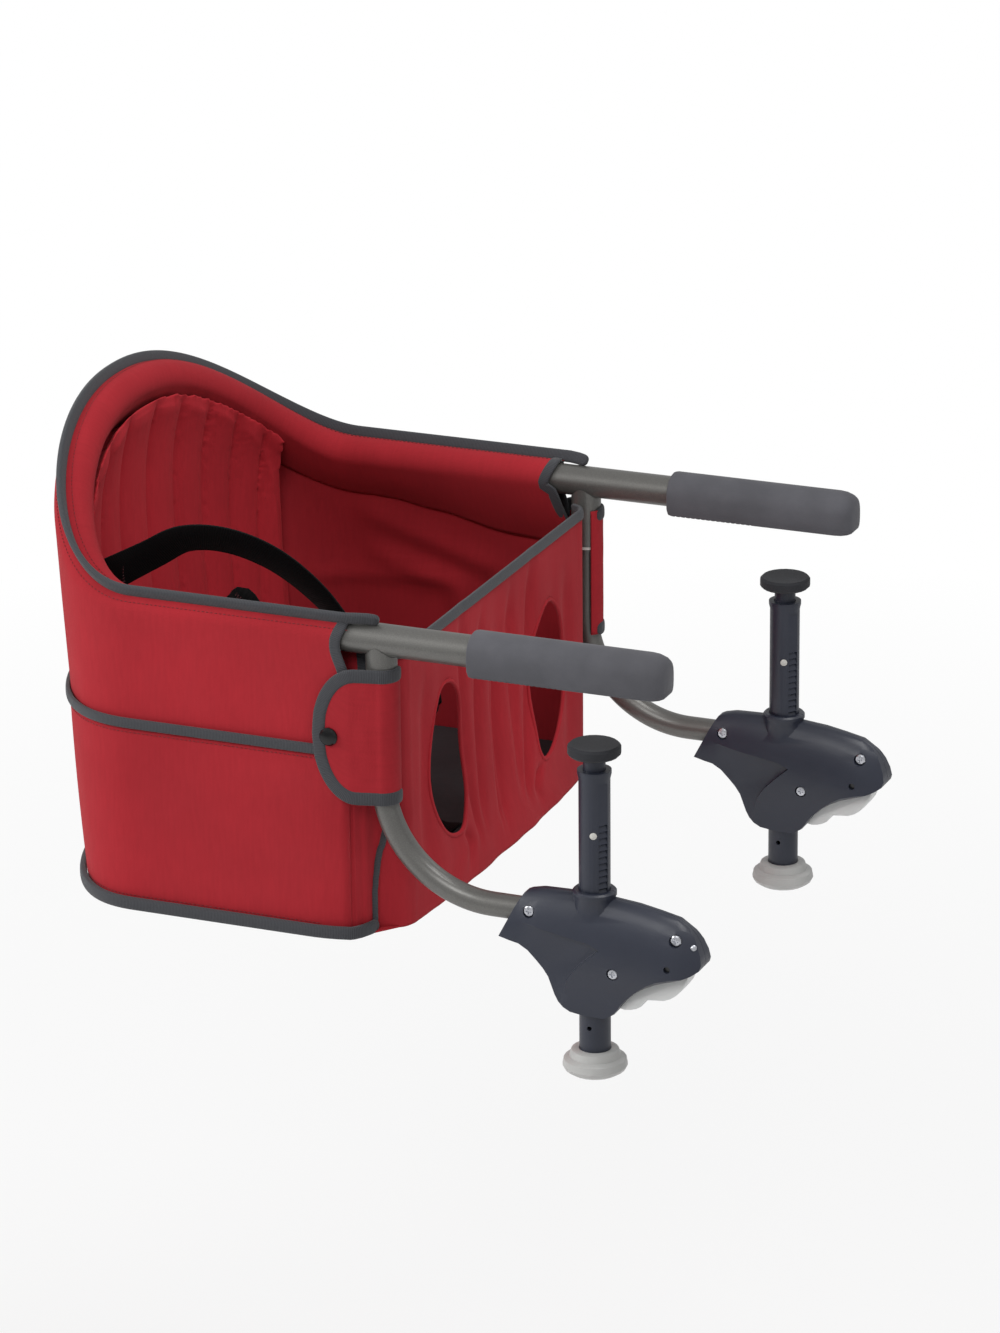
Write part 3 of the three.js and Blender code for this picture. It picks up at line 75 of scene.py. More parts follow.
BASE_INSET, BASE_SAG, BASE_BINDING_HEIGHT = 0.1, 1.2, -194.0
STRAP_WIDTH, STRAP_THICKNESS, STRAP_TURN = 25.0, 1.6, 33.0
BUCKLE_REACH, BUCKLE_HALF, BUCKLE_HEIGHT = -62, 22.6, -96
CROTCH_FOOT, CROTCH_TOP = -191.0, -113.3
NOSE_PIN = (217.0, -170.0)
FLOOR, FLOOR_RINGS = -750.0, (0.4, 0.9, 2.0, 5.0, 12.0)

# Creases, each with its two ends, depth and width: inside the far side by reach and height, in front by offset
FAR_CREASES = (
    ((-200, -26), (-74, -66), 6.5, 9.0), ((-186, -60), (-100, -84), 5.0, 8.0),
    ((-236, -84), (-120, -74), 2.6, 5.0), ((-118, -84), (-94, -132), 4.6, 7.0),
)
FRONT_CREASES = (
    ((64, -6), (50, -186), 5.0, 7.0), ((26, -14), (36, -176), 4.2, 6.0), ((128, -30), (134, -186), 3.0, 9.0),
    ((80, -160), (66, -196), 4.0, 6.0), ((8, -60), (4, -192), 3.0, 5.0),
)

# Waist straps: height where each is sewn on, lean at its middle, and shares of the seat's depth, width and height
STRAPS = {
    "right": (3.0, -0.6, (
        (0.76, -0.585, 0.13), (0.67, -0.56, 0.2), (0.57, -0.5, 0.19), (0.47, -0.42, 0.11),
        (0.38, -0.34, -0.03), (0.31, -0.28, -0.2), (0.255, -0.24, -0.36))),
    "left": (-90.0, 0.5, (
        (0.76, 0.6, -0.63), (0.63, 0.53, -0.75), (0.5, 0.43, -0.78), (0.38, 0.34, -0.7), (0.27, 0.25, -0.56))),
}


# Shapes that the pieces share
def hoop_point(turn, depth=HOOP_DEPTH, spread=ARM_OFFSET):
    """A point of the hoop; turn runs from -90 degrees at the right arm to +90 at the left."""
    back, side = max(math.cos(turn), 0.0), math.sin(turn)
    return Vector((
        HOOP_START - depth * back**HOOP_TURN,
        spread * math.copysign(abs(side) ** HOOP_SPREAD, side),
        ARM_HEIGHT + HOOP_RISE * back**HOOP_LIFT,
    ))


def hoop_section(turn):
    """Outwards in plan, and upwards in the hoop's own section."""
    before = hoop_point(max(turn - 0.01, -math.pi / 2))
    after = hoop_point(min(turn + 0.01, math.pi / 2))
    tangent = (after - before).normalized()
    outwards = Vector((-tangent.y, tangent.x, 0)).normalized()
    if outwards.dot(Vector((-math.cos(turn), math.sin(turn), 0))) < 0:
        outwards.negate()
    upwards = outwards.cross(tangent).normalized()
    if upwards.z < 0:
        upwards.negate()
    return outwards, upwards


class Station:
    """A place on the rim: an arm at a reach, or the hoop at a turn."""

    def __init__(self, side=0, reach=0.0, turn=None):
        self.side, self.reach, self.turn, self.run = side, reach, turn, 0.0
        if turn is None:
            self.centre = Vector((reach, side * ARM_OFFSET, ARM_HEIGHT))
            self.outwards, self.upwards = Vector((0, side, 0)), Vector((0, 0, 1))
            self.foot = Vector((reach, side * WALL_OFFSET, SEAT_BOTTOM))
        else:
            self.centre = hoop_point(turn)
            self.outwards, self.upwards = hoop_section(turn)
            self.foot = hoop_point(turn, WALL_FOOT_DEPTH, WALL_OFFSET)
            self.foot.z = SEAT_BOTTOM
        self.head = self.centre + self.outwards * HEM_RADIUS
        self.wall_height = self.head.z - SEAT_BOTTOM
        self.forward = (reach - HOOP_START) / (SIDE_FRONT - HOOP_START)

    def wall(self, height, layer=0.0):
        share = (height - self.foot.z) / (self.head.z - self.foot.z)
        return self.foot.lerp(self.head, share) + self.outwards * layer

    def hem(self, angle, radius=HEM_RADIUS):
        return self.centre + self.outwards * (radius * math.cos(angle)) + self.upwards * (radius * math.sin(angle))


def runs_of(points):
    """Each point's distance along the points."""
    runs = [0.0]
    for a, b in zip(points, points[1:]):
        runs.append(runs[-1] + (b - a).length)
    return runs


def heading(points, k):
    """The direction of the points at number k."""
    return (points[min(k + 1, len(points) - 1)] - points[max(k - 1, 0)]).normalized()


def rim(front, arm_steps, hoop_steps):
    """Stations from the right arm's front round the hoop to the left arm's front."""
    made = [Station(-1, front + (HOOP_START - front) * k / arm_steps) for k in range(arm_steps)]
    made += [Station(turn=math.radians(-90 + 180 * k / hoop_steps)) for k in range(hoop_steps + 1)]
    made += [Station(1, front + (HOOP_START - front) * k / arm_steps) for k in range(arm_steps - 1, -1, -1)]
    for station, run in zip(made, runs_of([s.centre for s in made])):
        station.run = run
    return made


def ease(share):
    share = min(max(share, 0.0), 1.0)
    return share * share * (3 - 2 * share)


def ripple(x, y, seed=0.0):
    """Soft, seeded unevenness between about -1 and 1."""
    return noise.noise(Vector((x, y, seed)))


def ridge(across, width):
    """A rounded fold's height at a distance across it."""
    return math.exp(-((across / width) ** 2))


def circle(radius, sides):
    turns = [2 * math.pi * k / sides for k in range(sides)]
    return [(math.cos(turn) * radius, math.sin(turn) * radius) for turn in turns]


def smooth_run(points, steps):
    """A Catmull-Rom curve through the points, at even steps of its length."""
    dense, count, finer = [], len(points), 24
    for k in range(count - 1):
        here, there = points[k], points[k + 1]
        before = points[k - 1] if k else here * 2 - there
        after = points[k + 2] if k + 2 < count else there * 2 - here
        for n in range(finer):
            t = n / finer
            dense.append(0.5 * (2 * here + (there - before) * t
                                + (2 * before - 5 * here + 4 * there - after) * t * t
                                + (3 * here - before - 3 * there + after) * t**3))
    dense.append(points[-1].copy())
    runs = runs_of(dense)
    made, at = [], 0
    for k in range(steps + 1):
        want = runs[-1] * k / steps
        while at < len(runs) - 2 and runs[at + 1] < want:
            at += 1
        share = (want - runs[at]) / max(runs[at + 1] - runs[at], 1e-9)
        made.append(dense[at].lerp(dense[at + 1], share))
    return made


# Meshes
def placed_in_scene(name, mesh):
    obj = bpy.data.objects.new(name, mesh)
    bpy.context.scene.collection.objects.link(obj)
    return obj


def painted(obj, material):
    obj.data.materials.clear()
    obj.data.materials.append(material)


def shaded_smooth(obj):
    obj.data.polygons.foreach_set("use_smooth", [True] * len(obj.data.polygons))


def uv_layer(mesh):
    return mesh.uv_layers.get("UVMap") or mesh.uv_layers.new(name="UVMap")


def grid_piece(name, rows, material, uvs=None, closed=False, keep=None):
    """A mesh over rows of points in millimetres, with its UV map in metres."""
    across = len(rows[0])
    if uvs is None:
        uvs, run = [], 0.0
        for j, row in enumerate(rows):
            if j:
                run += sum((a - b).length for a, b in zip(row, rows[j - 1])) / across
            uvs.append([(step * MM, run * MM) for step in runs_of(row)])
    faces, face_uvs = [], []
    for j in range(len(rows) - 1):
        for i in range(across if closed else across - 1):
            n = (i + 1) % across
            corners = ((j, i), (j, n), (j + 1, n), (j + 1, i))
            if keep and not keep(sum((rows[a][b] for a, b in corners), Vector()) / 4):
                continue
            faces.append([a * across + b for a, b in corners])
            face_uvs += [uvs[a][b] for a, b in corners]
    mesh = bpy.data.meshes.new(name)
    mesh.from_pydata([tuple(p * MM) for row in rows for p in row], [], faces)
    uv_layer(mesh).data.foreach_set("uv", [c for uv in face_uvs for c in uv])
    obj = placed_in_scene(name, mesh)
    painted(obj, material)
    shaded_smooth(obj)
    return obj


def applied(obj):
    """The object's evaluated mesh in place of its own, with no modifier left."""
    depsgraph = bpy.context.evaluated_depsgraph_get()
    mesh = bpy.data.meshes.new_from_object(obj.evaluated_get(depsgraph), depsgraph=depsgraph)
    mesh.name = obj.name
    obj.modifiers.clear()
    obj.data = mesh
    return obj


class Reworked:
    """An object's mesh as a bmesh, which goes back to the object at the end."""

    def __init__(self, obj):
        self.obj, self.made = obj, bmesh.new()

    def __enter__(self):
        self.made.from_mesh(self.obj.data)
        return self.made

    def __exit__(self, *error):
        self.made.to_mesh(self.obj.data)
        self.made.free()


def mended(obj, merge=0.0, fill=None, most_corners=None):
    """Merges doubles, fills the holes that are named, splits large faces and turns all of them outwards."""
    with Reworked(obj) as made:
        if merge:
            bmesh.ops.remove_doubles(made, verts=made.verts, dist=merge)
        if fill:
            edges = [e for e in made.edges if e.is_boundary and fill(e.verts[0].co)]
            bmesh.ops.holes_fill(made, edges=edges, sides=0)
        if most_corners:
            bmesh.ops.triangulate(made, faces=[f for f in made.faces if len(f.verts) > most_corners])
        bmesh.ops.recalc_face_normals(made, faces=made.faces)
    return obj


def everywhere(place):
    return True


def swept(name, centres, frames, profile, material):
    """A closed body along centres; profile gives (outwards, upwards) offsets at a share of the way."""
    rows = []
    for k, (centre, (side, up)) in enumerate(zip(centres, frames)):
        rows.append([centre + side * a + up * b for a, b in profile(k / (len(centres) - 1))])
    return mended(grid_piece(name, rows, material, closed=True), fill=everywhere)


def seated(obj, body, replaces):
    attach(obj, body)
    if replaces:
        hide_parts(*replaces)
    return obj


def sheet(obj, replaces):
    """Seats cloth in place of the parts that it replaces, and gives it its thickness."""
    seated(obj, "seat_frame", replaces)
    wall = obj.modifiers.new("Thickness", "SOLIDIFY")
    wall.thickness, wall.offset, wall.use_quality_normals = CLOTH * MM, 0.0, True


def tape(name, points, facing, width, thickness, replaces=()):
    """Sewn tape along points, its flat side turned the way that each point faces, with rounded ends."""
    points, facing = list(points), list(facing)
    for end in (0, 1):
        near, far = (points[-2], points[-1]) if end else (points[1], points[0])
        whole = (near - far).length
        steps = [far.lerp(near, reach / whole) for reach in (3.9, 2.6, 1.5, 0.7, 0.2) if reach < whole * 0.9]
        if end:
            points[-1:-1], facing[-1:-1] = steps, [facing[-1]] * len(steps)
        else:
            points[1:1], facing[1:1] = steps[::-1], [facing[0]] * len(steps)
    frames = []
    for k, normal in enumerate(facing):
        run = heading(points, k)
        normal = (normal - run * normal.dot(run)).normalized()
        frames.append((run.cross(normal), normal))
    squareness, end_run = 0.65, 4
    ring = [(math.copysign(abs(c) ** squareness, c) * width / 2, math.copysign(abs(s) ** squareness, s) * thickness / 2)
            for c, s in circle(1, 24)]
    runs = runs_of(points)

    def section(share):
        run = runs[round(share * (len(points) - 1))]
        end = math.sqrt(max(1 - (1 - min(min(run, runs[-1] - run) / end_run, 1)) ** 2, 0.0))
        return [(a * (0.25 + 0.75 * end), b * (0.5 + 0.5 * end)) for a, b in ring]

    obj = swept(name, points, frames, section, finish("grey_binding"))
    return seated(obj, "seat_frame", replaces)


# Node trees
def output(source):
    """The first output of a node, or the socket itself."""
    return source.outputs[0] if isinstance(source, bpy.types.Node) else source


def linked(tree, kind, sources=None, **settings):
    """A node with its settings, each socket set to a value or fed by a node or another socket."""
    node = tree.nodes.new(kind if "Node" in kind else "GeometryNode" + kind)
    for key, value in settings.items():
        setattr(node, key, value)
    for socket, source in (sources or {}).items():
        source = output(source)
        if isinstance(source, bpy.types.NodeSocket):
            tree.links.new(source, node.inputs[socket])
        else:
            node.inputs[socket].default_value = source
    return node


TREES = {}


def grow(obj, label, build, values):
    """Adds a geometry tree, built once, as a modifier with the values of its inputs."""
    if label not in TREES:
        tree = bpy.data.node_groups.new(label, "GeometryNodeTree")
        for way in ("INPUT", "OUTPUT"):
            tree.interface.new_socket("Geometry", in_out=way, socket_type="NodeSocketGeometry")
        found = {}
        for name, value in values.items():
            kind = "NodeSocketFloat" if isinstance(value, float) else "NodeSocketMaterial"
            found[name] = tree.interface.new_socket(name, in_out="INPUT", socket_type=kind).identifier
        start, end = tree.nodes.new("NodeGroupInput"), tree.nodes.new("NodeGroupOutput")
        tree.links.new(output(build(tree, start.outputs)), end.inputs["Geometry"])
        TREES[label] = tree, found
    tree, found = TREES[label]
    modifier = obj.modifiers.new(label, "NODES")
    modifier.node_group = tree
    for name, value in values.items():
        modifier[found[name]] = value


def smoothing(tree, given):
    """Merges a frame node's loose triangles and shades it smooth up to an angle."""
    bare = linked(tree, "RemoveAttribute", {"Geometry": given["Geometry"], "Name": "custom_normal"})
    merged = linked(tree, "MergeByDistance", {"Geometry": bare, "Distance": given["Merge"]})
    angle = linked(tree, "InputMeshEdgeAngle").outputs["Unsigned Angle"]
    sharp = linked(tree, "FunctionNodeCompare", {0: angle, 1: given["Angle"]}, operation="GREATER_THAN")
    faces = linked(tree, "SetShadeSmooth", {"Geometry": merged, "Shade Smooth": True}, domain="FACE")
    sources = {"Geometry": faces, "Selection": sharp, "Shade Smooth": False}
    return linked(tree, "SetShadeSmooth", sources, domain="EDGE")


def coated(tree, body, given):
    """The body's instances made real, shaded smooth and given the tree's material."""
    real = linked(tree, "RealizeInstances", {"Geometry": body})
    smooth = linked(tree, "SetShadeSmooth", {"Geometry": real, "Shade Smooth": True})
    return linked(tree, "SetMaterial", {"Geometry": smooth, "Material": given["Material"]})


def rounded_binding(tree, given):
    """A round binding along a path, which keeps its run as an attribute."""
    curve = linked(tree, "MeshToCurve", {"Mesh": given["Geometry"]})
    even = linked(tree, "ResampleCurve", {"Curve": curve, "Length": 0.004}, mode="LENGTH")
    sources = {"Geometry": even, "Name": "along", "Value": linked(tree, "SplineParameter").outputs["Length"]}
    kept = linked(tree, "StoreNamedAttribute", sources, data_type="FLOAT", domain="POINT")
    ring = linked(tree, "CurvePrimitiveCircle", {"Resolution": 14, "Radius": given["Radius"]})
    return coated(tree, linked(tree, "CurveToMesh", {"Curve": kept, "Profile Curve": ring, "Fill Caps": True}), given)


def stitched(tree, given):
    """Small rounded stitches laid end to end along a path."""
    curve = linked(tree, "MeshToCurve", {"Mesh": given["Geometry"]})
    points = linked(tree, "CurveToPoints", {"Curve": curve, "Length": given["Pitch"]}, mode="LENGTH")
    bead = linked(tree, "MeshUVSphere", {"Segments": 6, "Rings": 4, "Radius": 0.5})
    size = linked(tree, "ShaderNodeCombineXYZ", {"X": given["Width"], "Y": given["Width"], "Z": given["Length"]})
    sized = linked(tree, "Transform", {"Geometry": bead, "Scale": size})
    sources = {"Points": points, "Instance": sized, "Rotation": points.outputs["Rotation"]}
    return coated(tree, linked(tree, "InstanceOnPoints", sources), given)


def grown(name, paths, label, build, material, values):
    """A plain mesh that a geometry tree grows along open or closed runs of points in millimetres."""
    vertices, edges = [], []
    for points, closed in paths:
        first = len(vertices)
        vertices += [tuple(p * MM) for p in points]
        edges += [(first + k, first + k + 1) for k in range(len(points) - 1)]
        if closed:
            edges.append((len(vertices) - 1, first))
    mesh = bpy.data.meshes.new(name)
    mesh.from_pydata(vertices, edges, [])
    obj = placed_in_scene(name, mesh)
    grow(obj, label, build, {**values, "Material": finish(material)})
    return applied(obj)


def binding(name, path, closed, radius, material="grey_binding"):
    """A round binding, its UV map's second axis running along it in metres."""
    obj = grown(name, [(path, closed)], "Binding along path", rounded_binding, material, {"Radius": radius * MM})
    mesh = obj.data
    runs, corners = np.zeros(len(mesh.vertices), np.float32), np.zeros(len(mesh.loops), np.int32)
    mesh.attributes["along"].data.foreach_get("value", runs)
    mesh.loops.foreach_get("vertex_index", corners)
    uv = np.zeros((len(corners), 2), np.float32)
    uv[:, 1] = runs[corners]
    uv_layer(mesh).data.foreach_set("uv", uv.ravel())
    return seated(mended(obj, merge=1e-6), "seat_frame", ())


def stitches(name, paths, pitch=3.2, length=2.2, width=0.55, material="thread"):
    values = {"Pitch": pitch * MM, "Length": length * MM, "Width": width * MM}
    return seated(grown(name, paths, "Stitches along path", stitched, material, values), "seat_frame", ())


# Finishes
def written(colour):
    """A hex colour as three display values."""
    return tuple(int(colour[k : k + 2], 16) / 255 for k in (1, 3, 5))


def linear(colour):
    """A hex colour, or three display values, as the linear colour that the shader takes."""
    parts = written(colour) if isinstance(colour, str) else colour
    return [c / 12.92 if c <= 0.04045 else ((c + 0.055) / 1.055) ** 2.4 for c in parts] + [1.0]


def shade(colour, factor):
    return [min(c * factor, 1.0) for c in linear(colour)[:3]] + [1.0]


class Finish:
    """A material under construction, with short calls for the nodes that it needs."""

    def __init__(self, name, roughness=0.5, metallic=0.0, sheen=0.0, tint="#FFFFFF", coat=0.0, specular=0.5):
        self.material = bpy.data.materials.new(name)
        self.material.use_nodes = True
        self.tree = self.material.node_tree
        self.shader = self.tree.nodes["Principled BSDF"]
        for socket, value in (
            ("Roughness", roughness), ("Metallic", metallic), ("Sheen Weight", sheen), ("Coat Weight", coat),
            ("Specular IOR Level", specular), ("Sheen Tint", linear(tint)), ("Sheen Roughness", 0.45),
        ):
            self.shader.inputs[socket].default_value = value
        self.coordinates = self.tree.nodes.new("ShaderNodeTexCoord").outputs

    def feed(self, socket, source):
        self.tree.links.new(output(source), self.shader.inputs[socket])
        return self

    def noise(self, scale, detail, kind="Object", stretch=(1, 1, 1)):
        place = linked(self.tree, "ShaderNodeMapping", {"Vector": self.coordinates[kind], "Scale": stretch})
        sources = {"Vector": place, "Scale": scale, "Detail": detail}
        return linked(self.tree, "ShaderNodeTexNoise", sources).outputs["Fac"]

    def wave(self, pitch, direction):
        sources = {"Vector": self.coordinates["UV"], "Scale": math.pi / 10 / pitch}
        return linked(self.tree, "ShaderNodeTexWave", sources, bands_direction=direction).outputs["Fac"]

    def maths(self, operation, first, second):
        return linked(self.tree, "ShaderNodeMath", {0: first, 1: second}, operation=operation)

    def between(self, factor, low, high, first, second):
        """Blends two colours as the factor goes from low to high."""
        ramp = linked(self.tree, "ShaderNodeValToRGB", {"Fac": factor})
        for element, place, colour in zip(ramp.color_ramp.elements, (low, high), (first, second)):
            element.position, element.color = place, colour
        return ramp

    def dyed(self, colour, scale, detail, low, high, dark, light):
        """The colour, wandering between a darker and a lighter shade."""
        return self.between(self.noise(scale, detail), low, high, shade(colour, dark), shade(colour, light))

    def rough(self, factor, low, high):
        return self.feed("Roughness", linked(
            self.tree, "ShaderNodeMapRange", {"Value": factor, "To Min": low, "To Max": high}))

    def bump(self, height, distance, strength):
        sources = {"Height": height, "Distance": distance, "Strength": strength}
        normal = self.shader.inputs["Normal"]
        if normal.is_linked:
            sources["Normal"] = normal.links[0].from_socket
        return self.feed("Normal", linked(self.tree, "ShaderNodeBump", sources))


def woven_cloth(name, colour, pitch):
    """Plain woven polyester: crossed threads, slubs and broad uneven dye."""
    made = Finish(name, roughness=0.9, sheen=0.1, tint="#E08080", specular=0.2)
    dye = made.dyed(colour, 9, 4, 0.3, 0.72, 0.88, 1.08)
    slub = made.between(made.noise(420, 2, "UV", (1, 0.12, 1)), 0.25, 0.75, [0.9] * 3 + [1], [1.0] * 4)
    mixed = linked(made.tree, "ShaderNodeMix", {"Factor": 1.0, 6: dye, 7: slub}, data_type="RGBA", blend_type="MULTIPLY")
    made.feed("Base Color", mixed.outputs[2])
    made.rough(made.noise(30, 2), 0.8, 0.95)
    made.bump(made.maths("MULTIPLY", made.wave(pitch, "X"), made.wave(pitch, "Y")), 0.00025, 0.35)
    return made.bump(made.noise(55, 3), 0.0006, 0.22).material


def ribbed_cloth(name, colour, pitch, roughness=0.86, shine=0.3):
    """Binding, webbing or thread: ribs at one pitch across the piece's own UV map."""
    made = Finish(name, roughness=roughness, sheen=shine / 2, specular=shine)
    ribs = made.wave(pitch, "Y")
    # The ribs are also painted into the colour: darker in their grooves and lighter on their crests, painted shade and
    # painted highlight.
    made.feed("Base Color", made.between(ribs, 0.0, 1.0, shade(colour, 0.72), shade(colour, 1.15)))
    made.bump(ribs, 0.0003, 0.6)
    return made.bump(made.noise(700, 2), 0.0002, 0.4).material


def grained(name, colour, dye, rough, grain=None, **shader):
    """A solid finish: uneven dye, uneven roughness and a skin of small bumps."""
    made = Finish(name, **shader)
    made.feed("Base Color", made.dyed(colour, *dye))
    scale, detail, low, high, *stretch = rough
    made.rough(made.noise(scale, detail, "Object", *stretch), low, high)
    if grain:
        made.bump(made.noise(grain[0], 2), *grain[1:])
    return made.material


def enamelled_steel(name, colour):
    """Smooth metallic enamel with fine flake and faint rubbed streaks along the tube."""
    return grained(name, colour, (1600, 1, 0.35, 0.65, 0.9, 1.12), (60, 4, 0.3, 0.46, (0.15, 1, 1)),
                   (240, 0.0001, 0.12), roughness=0.36, metallic=0.55, coat=0.12)


def moulded(name, colour, roughness, grain=900.0, depth=0.00012, **shader):
    """Moulded plastic with a spark-eroded grain and faint flow marks."""
    return grained(name, colour, (26, 3, 0.3, 0.7, 0.93, 1.07), (120, 3, roughness - 0.06, roughness + 0.08),
                   (grain, depth, 0.3), roughness=roughness, **shader)


def soft_rubber(name, colour):
    """Matt rubber with a pebbled skin and a dusty bloom."""
    return grained(name, colour, (38, 4, 0.35, 0.7, 0.9, 1.12), (90, 3, 0.72, 0.9),
                   (1100, 0.0003, 0.35), roughness=0.82, sheen=0.08, specular=0.3)


def plated_steel(name, colour):
    return grained(name, colour, (300, 2, 0.3, 0.7, 0.85, 1.1), (400, 2, 0.2, 0.4), roughness=0.28, metallic=1.0)


FINISHES = {}


def finish(name):
    """The named finish, made once."""
    if not FINISHES:
        look = bpy.context.scene.chair_finishes
        FINISHES.update({
            "red_cloth": woven_cloth("Red woven cloth", look.cloth, look.weave),
            # The pad's cloth is the red cloth made lighter: painted light on the pad, which faces the front.
            "pad_cloth": woven_cloth("Pad cloth", look.pad, look.weave),
            "grey_binding": ribbed_cloth("Grey ribbed binding", look.binding, 0.0011),
            "black_webbing": ribbed_cloth("Black webbing", look.webbing, 0.0016, 0.7, 0.1),
            "thread": ribbed_cloth("Red sewing thread", "#7A2228", 0.0004),
            "strap_thread": ribbed_cloth("Strap sewing thread", "#6E3A40", 0.0004),
            "warm_grey_enamel": enamelled_steel("Warm grey enamel", look.enamel),
            "grip_rubber": soft_rubber("Grip rubber", look.rubber),
            "pad_rubber": soft_rubber("Pad rubber", "#2B2C30"),
            "slate_moulding": moulded("Slate moulding", look.housing, 0.38),
            "pale_moulding": moulded("Pale moulding", look.knob, 0.36, 500.0, 0.00006, coat=0.15),
            # The lever gets a lighter copy of the pale moulding: painted light for its glossy highlight.
            "lever_moulding": moulded("Lever moulding", "#DADBDA", 0.4, 500.0, 0.00006, coat=0.1),
            "black_moulding": moulded("Black moulding", "#1B1C1E", 0.32, coat=0.2),
            "black_gloss": moulded("Black gloss", "#050506", 0.16, 300.0, 0.00003, specular=0.4),
            "natural_plastic": moulded("Natural plastic", "#C9C8C2", 0.45),
            "board_plastic": moulded("Board", "#2E2E30", 0.7),
            "bright_steel": plated_steel("Plated steel", "#C4C6CC"),
        })
    return FINISHES[name]


# Cloth, pad, straps and trim
def front_edge(height):
    """Reach of the side panel's front edge, which is cut back where the tube leaves the hem."""
    return SIDE_FRONT + 1.5 - 7.5 * ridge(height - 11.6, 16)


def turned_in(point):
    """Draws cloth in round the seat's front corner, below the flap."""
    ahead = min(max((point.x + 58) / 28, 0.0), 1.0)
    low = ease((FLAP_BOTTOM + 14 - point.z) / 22)
    point.y -= math.copysign(4.2 * ahead**2 * low * ease((abs(point.y) - 183) / 10), point.y)
    return point


def edged(station, point):
    """Draws the last columns of an arm's cloth to the cut of its front edge."""
    if station.turn is None:
        point.x += (front_edge(point.z) - SIDE_FRONT) * station.forward**6
    return turned_in(point)


def creased(place, height, table):
    """How deep the table's creases are at a place."""
    pushed, point = 0.0, Vector((place, height))
    for first, last, depth, width in table:
        first, run = Vector(first), Vector(last) - Vector(first)
        share = (point - first).dot(run) / run.length_squared
        fade = ease(share * 3.5 + 0.3) * ease((1 - share) * 3.5 + 0.3)
        pushed += depth * fade * ridge((point - first - run * share).length, width)
    return pushed


def wall_layer(station, height):
    """How far the relaxed cloth stands off its drawn surface; inwards under the pocket."""
    rise = (height - SEAT_BOTTOM) / station.wall_height
    free = math.sin(math.pi * min(max(rise, 0.0), 1.0)) ** 0.7
    soft = 0.9 * ripple(station.run / 75, height / 120, 3.1) + 0.5 * ripple(station.run / 28, height / 160, 8.4)
    under = ease((POCKET_TOP + 6 - height) / 14)
    layer = soft * (1 - under) - 0.9 * under
    if station.side == 1 or (station.turn or 0) > math.radians(35):
        layer -= creased(station.centre.x, height, FAR_CREASES)
    return layer * free


def hem_drop(station):
    """How far below the tube's middle the sleeve's inner layer is sewn to the wall."""
    if station.turn is not None:
        return HEM_DROP[0] + 5 * abs(math.sin(station.turn)) ** 3
    wave = 2.5 * ripple(station.run / 30, 2.0, 5.5)
    return HEM_DROP[0] + 5 + (HEM_DROP[1] - HEM_DROP[0] - 5) * ease(station.forward) + wave


def fallen(station, share):
    """The sleeve's inner layer between the tube and its seam on the wall."""
    start = station.hem(HEM_WRAP, HEM_RADIUS + 0.5)
    end = station.wall(station.centre.z - hem_drop(station), -2.4)
    swell = 2.6 * math.sin(math.pi * share) * (1 + 0.5 * ripple(station.run / 24, share, 9.1))
    point = start.lerp(end, share) - station.outwards * swell
    if station.turn is None:
        point.x += SLEEVE_SLANT * share * max(station.forward, 0.0) ** 6
    return point


def make_seat_wall():
    """One cloth from arm to arm: up the wall, over the tube and down inside it."""
    stations = rim(SIDE_FRONT, 26, 120)
    rows, uvs = [], []
    wall_rows, wrap_rows, fall_rows, around = 44, 16, 14, HEM_WRAP * HEM_RADIUS

    def lay(row, run_at):
        rows.append(row)
        uvs.append([(s.run * MM, run_at(s) * MM) for s in stations])

    for j in range(wall_rows + 1):
        rise, row = j / wall_rows, []
        for station in stations:
            height = SEAT_BOTTOM + station.wall_height * rise
            row.append(edged(station, station.wall(height, wall_layer(station, height))))
        lay(row, lambda s: s.wall_height * rise)
    for j in range(1, wrap_rows + 1):
        angle = HEM_WRAP * j / wrap_rows
        radius = HEM_RADIUS + 0.5 * math.sin(angle / 2) ** 2
        lay([edged(s, s.hem(angle, radius)) for s in stations], lambda s: s.wall_height + angle * HEM_RADIUS)
    for j in range(1, fall_rows + 1):
        share = j / fall_rows
        lay([fallen(s, share) for s in stations], lambda s: s.wall_height + around + share * hem_drop(s))
    sheet(grid_piece("seat_wall", rows, finish("red_cloth"), uvs),
          ("right_side_panel", "left_side_panel", "back_panel"))


def make_pocket():
    """The pocket round the outside, sewn to the wall at its foot and its ends."""
    stations, rows, count = rim(SIDE_FRONT - 0.5, 26, 110), [], 26
    for j in range(count + 1):
        rise, row = j / count, []
        height = SEAT_BOTTOM + 3 + (POCKET_TOP - SEAT_BOTTOM - 3) * rise
        for station in stations:
            ends = ease(min(station.run, stations[-1].run - station.run) / 40)
            slack = ((0.5 + 0.5 * ripple(station.run / 62, height / 240, 5.0)) * 1.6
                     + 0.8 * abs(ripple(station.run / 20, height / 200, 1.2)))
            row.append(turned_in(station.wall(height, 1.35 + slack * ends * math.sin(math.pi * rise) ** 0.8)))
        rows.append(row)
    sheet(grid_piece("pocket_cloth", rows, finish("red_cloth")), ("pocket_panel",))


def front_plan(steps):
    """The front panel's plan, from the right side round both tubes to the left side."""
    keep = LOWER_RADIUS + TUBE_KEEP + 1.6
    right = [Vector((SIDE_FRONT + 1, -WALL_OFFSET, 0))]
    for turn, share in ((180, 1), (142, 1.05), (112, 1.06), (80, 1.42)):
        angle = math.radians(turn)
        right.append(Vector((
            SWIVEL + keep * share * math.cos(angle), -ARM_OFFSET + keep * share * math.sin(angle), 0)))
    right += [Vector((FRONT_PLANE, -ARM_OFFSET + keep * share, 0)) for share in (2, 2.5, 3.3, 5, 8)]
    left = [Vector((p.x, -p.y, 0)) for p in reversed(right)]
    return smooth_run([*right, Vector((FRONT_PLANE, 0, 0)), *left], steps)


